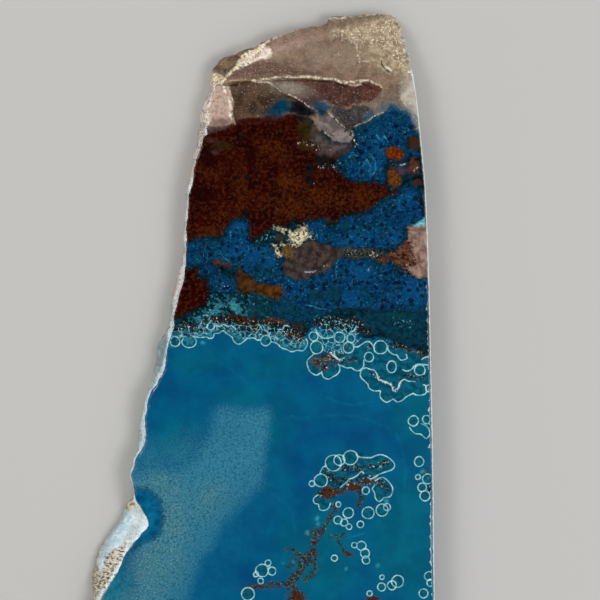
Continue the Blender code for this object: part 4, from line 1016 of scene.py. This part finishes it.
RINGS = [circle(x, y, radius, radius) for x, y, radius in BUBBLES]
lay(STONE, "shell_lines", "#74c3d2", "#c6f2f4", edge=0.09, fray=0.03, share=0.92, wander=ripple,
    fringe=("#014054", 0.34, 0.5),
    strokes=[(0.1, line) for line in CHAINS + RINGS])
lay(STONE, "crest_lines", "#cfeef0", "#f6fbf8", edge=0.2, fray=0.35, share=0.9, wander=ripple,
    only=("grit", 0.42, 0.5),
    strokes=[(0.16, [(23.8, 0.2), (24.5, -0.7), (25.7, -1.1), (26.7, -1.7), (27.1, -2.5)]),
             (0.14, [(27.4, -2.9), (28, -2.3), (28.5, -1.2)]),
             (0.12, [(14.6, 4.8), (15.4, 4.1), (16.4, 3.3)])])

# %% White veins and dark cracks
lay(STONE, "dark_cracks", "#0b0606", "#1c100d", edge=0.14, fray=0.15, wander=ripple,
    strokes=[(0.14, [(24.7, 63.4), (24.9, 62.5), (25.4, 61.7), (26.3, 61)]),
             (0.07, [(5, 67.2), (6.4, 66.3)]),
             (0.16, [(3.4, 58), (4.8, 56.7), (6.6, 55.9), (8.6, 54.9), (10, 54)]),
             (0.1, [(-6.2, 58.5), (-5, 58.3), (-4.2, 58.4)]), (0.16, [(11.6, 24.9), (12.5, 24.1)]),
             (0.12, [(-11.2, 53.4), (-10.8, 53)]), (0.1, [(19.9, 49.2), (22, 50.6)])])
lay(STONE, "ledge_line", "#c3b093", "#ede0c6", grain="grit", cut=(0.4, 0.56), edge=0.16, fray=0.35,
    share=0.9,
    strokes=[(0.08, [(-6.3, 59.2), (-3.8, 59.4), (-0.9, 59.3)]),
             (0.17, [(-0.9, 59.3), (1.5, 59.7), (5, 60.2), (7.9, 60), (12.6, 60), (15.6, 59.4)]),
             (0.15, [(15.6, 59.4), (17.6, 58.9), (19.7, 59.2), (22, 59.2), (23.8, 58.3), (24.7, 57.7)]),
             (0.12, [(15.8, 59.1), (18.2, 58.4), (20.6, 58.7)])])
lay(STONE, "pale_veins", "#cbbfa9", "#efe6d4", grain="grit", edge=0.12, fray=0.2, share=0.8,
    strokes=[(0.07, [(-0.3, 59), (1, 59.1), (2.4, 59), (3.4, 58.3), (4.7, 57.1), (6.2, 56.5), (7.9, 55.6),
                     (9.7, 54.5), (10.6, 53.8)]),
             (0.08, [(14.1, 52.8), (14.7, 52.2), (15.5, 51.7), (16.1, 51), (17, 50.3), (17.7, 49.7)]),
             (0.05,
              [(19.3, 49.8), (20.5, 50.7), (22, 51.3), (23, 52.3), (23.9, 52.8), (25.5, 53), (27, 53.1)]),
             (0.06, [(18.4, 67.6), (19.4, 66.9), (19.8, 66.2)]),
             (0.09, [(20.6, 68.6), (19.8, 67.2), (19.7, 66), (20.2, 64.2), (20.4, 63)]),
             (0.05, [(20.4, 62.9), (21.4, 63.3), (22.9, 62.6)]),
             (0.08, [(21, 69.5), (22.6, 67.8), (23, 66.5)]),
             (0.08, [(23, 70.2), (24.4, 69.8), (25.6, 68.6)]),
             (0.07, [(13.2, 49), (14.2, 48.2), (15.2, 47.7)]),
             (0.06, [(14, 49.4), (14.8, 48.7), (16, 48.4)]),
             (0.1, [(-5.35, 57.8), (-5.25, 55), (-4.95, 52), (-4.65, 50.2)]),
             (0.1, [(-9, 58.2), (-8.2, 58.9), (-7.5, 58.9), (-6.9, 58.4), (-5.3, 57.9)]),
             (0.3, [(25.8, 62), (26.6, 61.3)]),
             (0.05, [(28.3, 58.8), (28.7, 56.6), (29, 55.6), (29.8, 54), (30.6, 52.8), (31.6, 51.2)])])
lay(STONE, "chip_foot", "#35100c", "#571f16", edge=0.3, fray=0.6, share=0.85,
    only=("pepper", 0.42, 0.52),
    strokes=[(0.22, [(14.6, 54.3), (16, 54), (17.4, 54), (18.6, 54.5), (20, 55), (21.5, 55.2),
                     (23.7, 55.6), (24.6, 56.6)]),
             (0.3, [(10.6, 58.4), (12.2, 58.2)])])

# %% [markdown]
# ## The crust of the rind
#
# The rind is the skin that the vein grew against its host rock. It is white and a little blue where silica
# covers it, and tan and pitted where small crystals stand on it. It has its own stack of glazes.

# %% Colours of the rind
UPPER_RIM = [(-20, 14), (-13, 14), (-11, 50), (-9, 56), (-16, 56)]
lay(CRUST, "patched_skin", "#5f8490", "#b4ccd2", grain="grain", cut=(0.36, 0.6), edge=0.8, fray=0.9,
    share=0.85,
    patches=[[(-14.6, 13), (-13, 13), (-16, 4), (-19, -4), (-21, -10), (-22, -16), (-27, -22), (-27, -10),
              (-24, -2), (-20, 8), (-17, 13)]])
lay(CRUST, "blue_silica", "#b4dcec", "#eefafe", grain="lump", edge=0.9, fray=0.9, share=0.9,
    ovals=[(-28.4, -30.6, 5.4, 2.2, 58), (-31.4, -36.6, 3.4, 1.5, 66), (-23.6, -8, 0.7, 5, -8),
           (-16.4, 12, 0.6, 4, -10)])
lay(CRUST, "blue_streaks", "#6f9fb4", "#a4c8d6", grain="grit", edge=0.8, fray=0.9, share=0.7,
    only=("streak", 0.54, 0.64),
    ovals=[(-28.8, -31.2, 5.0, 1.7, 58), (-31.6, -37, 3.2, 1.3, 66)])
lay(CRUST, "grey_facet", "#6f8288", "#a5bcc2", grain="patch", edge=0.5, fray=0.4, share=0.9,
    patches=[[(-18.2, 9.8), (-18.4, 6), (-19.2, 2.6), (-20.8, -0.6), (-22.4, -3.4), (-24, -6), (-23, 0),
              (-21.4, 4), (-20, 8), (-18.8, 10.6)]])
lay(CRUST, "rim_crumbs", "#3a2418", "#6b4c38", grain="grit", edge=0.4, fray=0.8, share=0.85,
    only=("fleck", 0.5, 0.58),
    patches=[UPPER_RIM])
lay(CRUST, "tan_crystals", "#54463a", "#d6ccb8", grain="streak", cut=(0.42, 0.54), edge=0.3, fray=1.0,
    patches=[[(-25.8, -33), (-27.6, -34.2), (-29, -34.8), (-30.6, -35.9), (-31.3, -38.4), (-33.3, -40.4),
              (-34.6, -44.6), (-36, -60), (-36, -76), (-20, -76), (-24, -50), (-30.6, -45.6), (-30, -43),
              (-28.6, -41), (-27.2, -38.4), (-26.2, -35.6)]])
lay(CRUST, "pale_crystals", "#9fb4b6", "#eef2ee", grain="streak", edge=0.5, fray=0.8, share=0.6,
    only=("pepper", 0.53, 0.62),
    patches=[[(-25.9, -33.4), (-30, -37), (-32.2, -43), (-34.6, -46), (-36, -76), (-20, -76), (-24, -50),
              (-30, -45), (-27.2, -38)]])
lay(CRUST, "rust_stain", "#34180f", "#6e4636", grain="grit", edge=0.6, fray=0.9, share=0.85,
    only=("fleck", 0.46, 0.56),
    patches=[[(-16, 46), (-8, 46), (-6, 53), (-14, 54)]])
lay(CRUST, "cream_top", "#d9c69c", "#efe2c6", grain="lump", edge=0.5, fray=0.7, share=0.85,
    ovals=[(-25.6, -26, 1.6, 0.9, 50), (-27.4, -27.6, 0.9, 0.6, 40), (-23.2, -26.4, 0.8, 0.5, -40)])
lay(CRUST, "rosy_crust", "#c4a89a", "#ecdcd2", grain="grit", edge=1.8, fray=0.6, share=0.9,
    patches=[[(-20, 19), (-13, 19), (-11, 52), (-9, 56), (-16, 56)]])
lay(CRUST, "brown_spots", "#6b5230", "#94764a", grain="grit", edge=0.25, fray=0.6,
    ovals=[(-20.6, 3, 0.4, 0.9, -15), (-25.2, -25.6, 0.5, 0.35, 20), (-26.3, -27.1, 0.4, 0.3, 0),
           (-23.1, -27.3, 0.2, 0.2, 0), (-23.8, -29, 0.2, 0.15, 0), (-29.6, -31.6, 0.4, 0.3, 30),
           (-24.6, -9, 0.3, 0.8, 0)])
# The rim: partly the white of the silica crust, partly a painted highlight along the very edge where it faces
# the light.
lay(CRUST, "rim_line_with_painted_highlight", "#dff0f4", "#f4fbfc", grain="grit", edge=0.2, fray=0.7, share=0.92,
    only=("fleck", 0.4, 0.46),
    strokes=[(0.35, [(-13.2, 40), (-14.4, 33), (-14.9, 25), (-15.2, 20), (-16.4, 16), (-16.9, 12),
                     (-17.8, 8), (-18.1, 5), (-18.8, 2), (-19.6, 0), (-20.8, -2), (-21.8, -4),
                     (-22.3, -6), (-22.9, -10), (-23, -13), (-23.8, -15), (-25.2, -18), (-25.6, -20),
                     (-24.6, -24), (-24, -26)]),
             (0.22, [(-25.4, -24.9), (-27.2, -27), (-28, -28.8), (-30.6, -31.8), (-32.2, -35.4),
                     (-33.2, -38.2), (-33.6, -40)]),
             (0.3, [(-24.4, -25), (-23.4, -26.8), (-22.4, -28.8), (-22.7, -30.4), (-24.1, -32.2),
                    (-25.9, -33.2), (-26.1, -34.4), (-27.1, -36.7), (-28.1, -39.1), (-29.9, -41.4),
                    (-31.5, -43.8), (-33.4, -47)])])
lay(CRUST, "rim_specks", "#5a3c30", "#8e7060", grain="grit", edge=0.5, fray=0.8, share=0.75,
    only=("fleck", 0.53, 0.6),
    patches=[UPPER_RIM])
lay(CRUST, "chunk_specks", "#4f4638", "#7c7466", grain="grit", edge=0.3, fray=0.8, share=0.7,
    only=("fleck", 0.57, 0.63),
    patches=[[(-23.4, -26), (-22.8, -30), (-25.4, -33.4), (-27, -33.4), (-25, -29), (-24.8, -26.4)]])


# %% [markdown]
# ## Grains for the glazes
#
# The shader has its own noise, finer than the mesh. Each grain is named, and its size is a real size:
# specks of a third of a millimetre, lumps of one or two, clouds of six. Anything under 0.3 mm would vanish
# in the picture, so the finest grain is drawn a little coarser than the real one.

# %% Colours and grains
def linear(code):
    """A hex colour as the linear values that a shader takes."""
    parts = [int(code[index : index + 2], 16) / 255.0 for index in (1, 3, 5)]
    return (*[part / 12.92 if part <= 0.04045 else ((part + 0.055) / 1.055) ** 2.4 for part in parts], 1.0)


GRAIN_SIZES = {"broad": 6.0, "patch": 2.6, "lump": 1.3, "pepper": 0.75, "grain": 0.6, "fray": 0.55,
               "fleck": 0.45, "grit": 0.36}


def stone_grains(tree):
    """Every grain as a value from 0 to 1, the cells of the blue mineral, and the lace of the contact."""
    spots = add_node(tree, "VectorMath", {0: add_node(tree, "TexCoord", out=3), 3: 1.0 / MM},
                     operation="SCALE")
    grains = {}
    for name, size in GRAIN_SIZES.items():
        shifted = add_node(tree, "VectorMath", {0: spots, 1: (13.7 * size, 5.1, -7.3 * size)},
                           operation="ADD")
        grains[name] = add_node(tree, "TexNoise", {"Vector": shifted, "Scale": 1.0 / size, "Detail": 3.0,
                                                   "Roughness": 0.62})
    turned = add_node(tree, "Mapping", {0: spots, 2: (0.0, 0.0, math.radians(-62.0)),
                                        3: (1.0 / 1.3, 1.0 / 0.34, 1.0 / 0.8)})
    grains["streak"] = add_node(tree, "TexNoise", {"Vector": turned, "Scale": 1.0, "Detail": 2.5,
                                                   "Roughness": 0.6})
    sway = add_node(tree, "TexNoise", {"Vector": spots, "Scale": 1.0 / 0.9, "Detail": 2.0}, out=1)
    swaying = add_node(tree, "VectorMath", {0: sway, 1: (0.9, 0.9, 0.9), 2: spots}, operation="MULTIPLY_ADD")
    grains["cells"] = add_node(tree, "TexVoronoi", {"Vector": swaying, "Scale": 1.0 / 1.4})
    walls = add_node(tree, "TexVoronoi", {"Vector": swaying, "Scale": 1.0 / 1.1}, feature="DISTANCE_TO_EDGE")
    # The lace fades out in places, because its walls are kept only where the pepper grain lets them through.
    grains["lace"] = add_node(tree, "Math", {0: grains["pepper"], 1: 0.16, 2: walls},
                              operation="MULTIPLY_ADD")
    return grains


# %% Two colours mixed by a grain
def mottled(tree, grain, cut, dark, light):
    share = add_node(tree, "MapRange", {0: grain, 1: cut[0], 2: cut[1]}, interpolation_type="SMOOTHSTEP")
    return add_node(tree, "Mix", {0: share, 6: linear(dark), 7: linear(light)}, out=2, data_type="RGBA")


# %% Laying a stack of glazes over a colour
def glazed(tree, colour, stack, grains):
    for glaze in stack:
        field = add_node(tree, "Attribute", out=2, attribute_name=glaze["name"])
        fray, edge = glaze["fray"], glaze["edge"]
        nudge = add_node(tree, "Math", {0: grains[glaze["fray_grain"]], 1: -2.0 * fray, 2: fray},
                         operation="MULTIPLY_ADD")
        place = add_node(tree, "Math", {0: field, 1: nudge}, operation="ADD")
        if glaze["fringe"]:
            tint, width, strength = glaze["fringe"]
            share = add_node(tree, "MapRange", {0: place, 1: width, 2: 0.0, 4: strength},
                             interpolation_type="SMOOTHSTEP")
            colour = add_node(tree, "Mix", {0: share, 6: colour, 7: linear(tint)}, out=2, data_type="RGBA")
        share = add_node(tree, "MapRange", {0: place, 1: edge, 2: -edge, 4: glaze["share"]},
                         interpolation_type="SMOOTHSTEP")
        if glaze["only"]:
            grain, low, high = glaze["only"]
            gate = add_node(tree, "MapRange", {0: grains[grain], 1: low, 2: high},
                            interpolation_type="SMOOTHSTEP")
            share = add_node(tree, "Math", {0: share, 1: gate}, operation="MULTIPLY")
        over = mottled(tree, grains[glaze["grain"]], glaze["cut"], glaze["dark"], glaze["light"])
        colour = add_node(tree, "Mix", {0: share, 6: colour, 7: over}, out=2, data_type="RGBA")
    return colour


# %% [markdown]
# ## Finishes
#
# The same stone has four finishes: the face is polished, the back and the straight side are only sawn, the
# quartz is freshly broken, and the rind is old and weathered. They share the colours and differ in
# roughness and relief.
#
# One shader can't hold all the glazes at once. So the slab is divided into three stretches along its
# length, and each stretch's material holds only the glazes that reach it. The glazes run on across the
# borders, so none shows.

# %% Three stretches of stone
STRETCHES = {"blue_chalcedony": (-80.0, 10.9), "stained_jasper": (10.9, 47.0), "milky_quartz": (47.0, 80.0)}
slab.data.attributes.new("depth", "FLOAT", "POINT").data.foreach_set("value", depth.astype(np.float32))


def reaching(stack, low, high):
    """The glazes of a stack whose markings come near this stretch of the slab."""
    here = (points[:, 1] > low - 0.8) & (points[:, 1] < high + 0.8)
    kept = []
    for glaze in stack:
        reach = glaze["edge"] + 0.6 * glaze["fray"] + (glaze["fringe"][1] if glaze["fringe"] else 0.0)
        if glaze["field"][here].min() < reach:
            kept.append(glaze)
    return kept


# %% A finish: its colours, its gloss and its relief
def finish(name, roughness, base, stack, veil=(), bump=("lump", 0.1, 0.02)):
    """A stone material. A veil is a colour over it that begins, is full, fades and is gone at four depths."""
    made = bpy.data.materials.new(name)
    made.use_nodes = True
    tree, shader = made.node_tree, made.node_tree.nodes["Principled BSDF"]
    shader.inputs["Roughness"].default_value = roughness
    shader.inputs["IOR"].default_value = 1.54
    grains = stone_grains(tree)
    colour = glazed(tree, mottled(tree, grains["broad"], (0.32, 0.68), *base), stack, grains)
    for tint, begin, full, fade, gone, strength in veil:
        below = add_node(tree, "Attribute", out=2, attribute_name="depth")
        wavy = add_node(tree, "Math", {0: grains["pepper"], 1: 0.4, 2: below}, operation="MULTIPLY_ADD")
        share = add_node(tree, "MapRange", {0: wavy, 1: begin, 2: full, 4: strength},
                         interpolation_type="SMOOTHSTEP")
        rest = add_node(tree, "MapRange", {0: wavy, 1: gone, 2: fade}, interpolation_type="SMOOTHSTEP")
        share = add_node(tree, "Math", {0: share, 1: rest}, operation="MULTIPLY")
        colour = add_node(tree, "Mix", {0: share, 6: colour, 7: linear(tint)}, out=2, data_type="RGBA")
    tree.links.new(colour, shader.inputs["Base Color"])
    grain, strength, height = bump
    relief = add_node(tree, "Bump", {"Height": grains[grain], "Strength": strength, "Distance": height * MM})
    tree.links.new(relief, shader.inputs["Normal"])
    slab.data.materials.append(made)
    print(name, "has", len(stack), "glazes")
    return shader


# %% Polished, sawn, broken and weathered stone
BLUE = ("#004b71", "#00597d")
# Weathered rind: silica and clay on small crystals, dry and matt.
finish("weathered_rind", 0.8, ("#b4bcb8", "#dde6e8"), CRUST, [("#8f8a78", 2.4, 6.0, 20.0, 30.0, 0.6)],
       ("grit", 0.6, 0.2))
for stretch, limits in STRETCHES.items():
    # Polished: lapped flat and buffed with fine oxide, so it has a wet, even gloss.
    finish("polished_" + stretch, 0.12, BLUE, reaching(STONE, *limits))
for stretch, limits in STRETCHES.items():
    # Sawn: the diamond saw leaves it dull and a little milky. The ground corner is nearly white, partly its
    # own frosted colour and partly a painted highlight along the edge.
    finish("sawn_" + stretch, 0.55, BLUE, reaching(STONE, *limits),
           [("#93a6a8", 0.2, 0.5, 20.0, 30.0, 0.25), ("#e3e8e4", 0.4, 0.55, 0.85, 1.05, 0.9)],
           ("lump", 0.2, 0.03))
# Broken quartz: shell-shaped breaks with a waxy shine, and light that sinks a millimetre into the stone.
shader = finish("broken_milky_quartz", 0.36, BLUE, reaching(STONE, *STRETCHES["milky_quartz"]),
                bump=("fray", 0.6, 0.16))
shader.inputs["Specular IOR Level"].default_value = 0.25
shader.inputs["Subsurface Weight"].default_value = 0.15
shader.inputs["Subsurface Radius"].default_value = (1.0, 0.8, 0.65)
shader.inputs["Subsurface Scale"].default_value = 1.0 * MM

# %% Which face takes which finish
# The order of the materials is: the rind, three polished ones, three sawn ones and the broken quartz.
RIND, POLISHED, SAWN, BROKEN_QUARTZ = 0, 1, 4, 7
# The quartz starts lower inside its left corner than on the outside, where the rind goes on.
CORNER_X, QUARTZ_INSIDE, QUARTZ_OUTSIDE = -10.2, 47.6, 51.0

slots = np.empty(len(slab.data.polygons), dtype=np.int32)
slab.data.polygons.foreach_get("material_index", slots)
centres = np.empty(3 * len(slots))
slab.data.polygons.foreach_get("center", centres)
centres = centres.reshape(-1, 3) / MM
stretch = np.digitize(centres[:, 1], [limits[1] for limits in STRETCHES.values()][:2])
is_face, is_back, is_rough = slots == 1, slots == 2, slots == RIND
# High up the break reaches almost to the sawn side, so there the side counts from a little further out.
BREAK_NEARS, SIDE_NARROWS = 56.0, 0.7
narrowing = np.where(centres[:, 1] > BREAK_NEARS, SIDE_NARROWS, 0.0)
is_side = is_rough & is_sawn(centres[:, 0] - narrowing, centres[:, 1])
quartz_from = np.where(centres[:, 0] > CORNER_X, QUARTZ_INSIDE, QUARTZ_OUTSIDE)
slots[is_rough & (centres[:, 1] > quartz_from)] = BROKEN_QUARTZ
slots[is_side | is_back] = SAWN + stretch[is_side | is_back]
slots[is_face] = POLISHED + stretch[is_face]
slab.data.polygons.foreach_set("material_index", slots)
print("faces with each finish:", [int((slots == index).sum()) for index in range(8)])

# %% [markdown]
# ## The table
#
# A plain pale table, so that nothing competes with the stone.

# %% The table
bpy.ops.mesh.primitive_plane_add(size=3.0, location=(0.0, 0.0, 0.0))
table = bpy.context.object
table.name = "table"
paint = bpy.data.materials.new("matt_grey_paint")
paint.use_nodes = True
paint.node_tree.nodes["Principled BSDF"].inputs["Base Color"].default_value = linear("#bdbbb8")
paint.node_tree.nodes["Principled BSDF"].inputs["Roughness"].default_value = 0.9
table.data.materials.append(paint)
print("the table is", table.dimensions.x, "m wide")

# %% Tying the slab to the frame
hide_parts("slice")
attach(slab, "root")
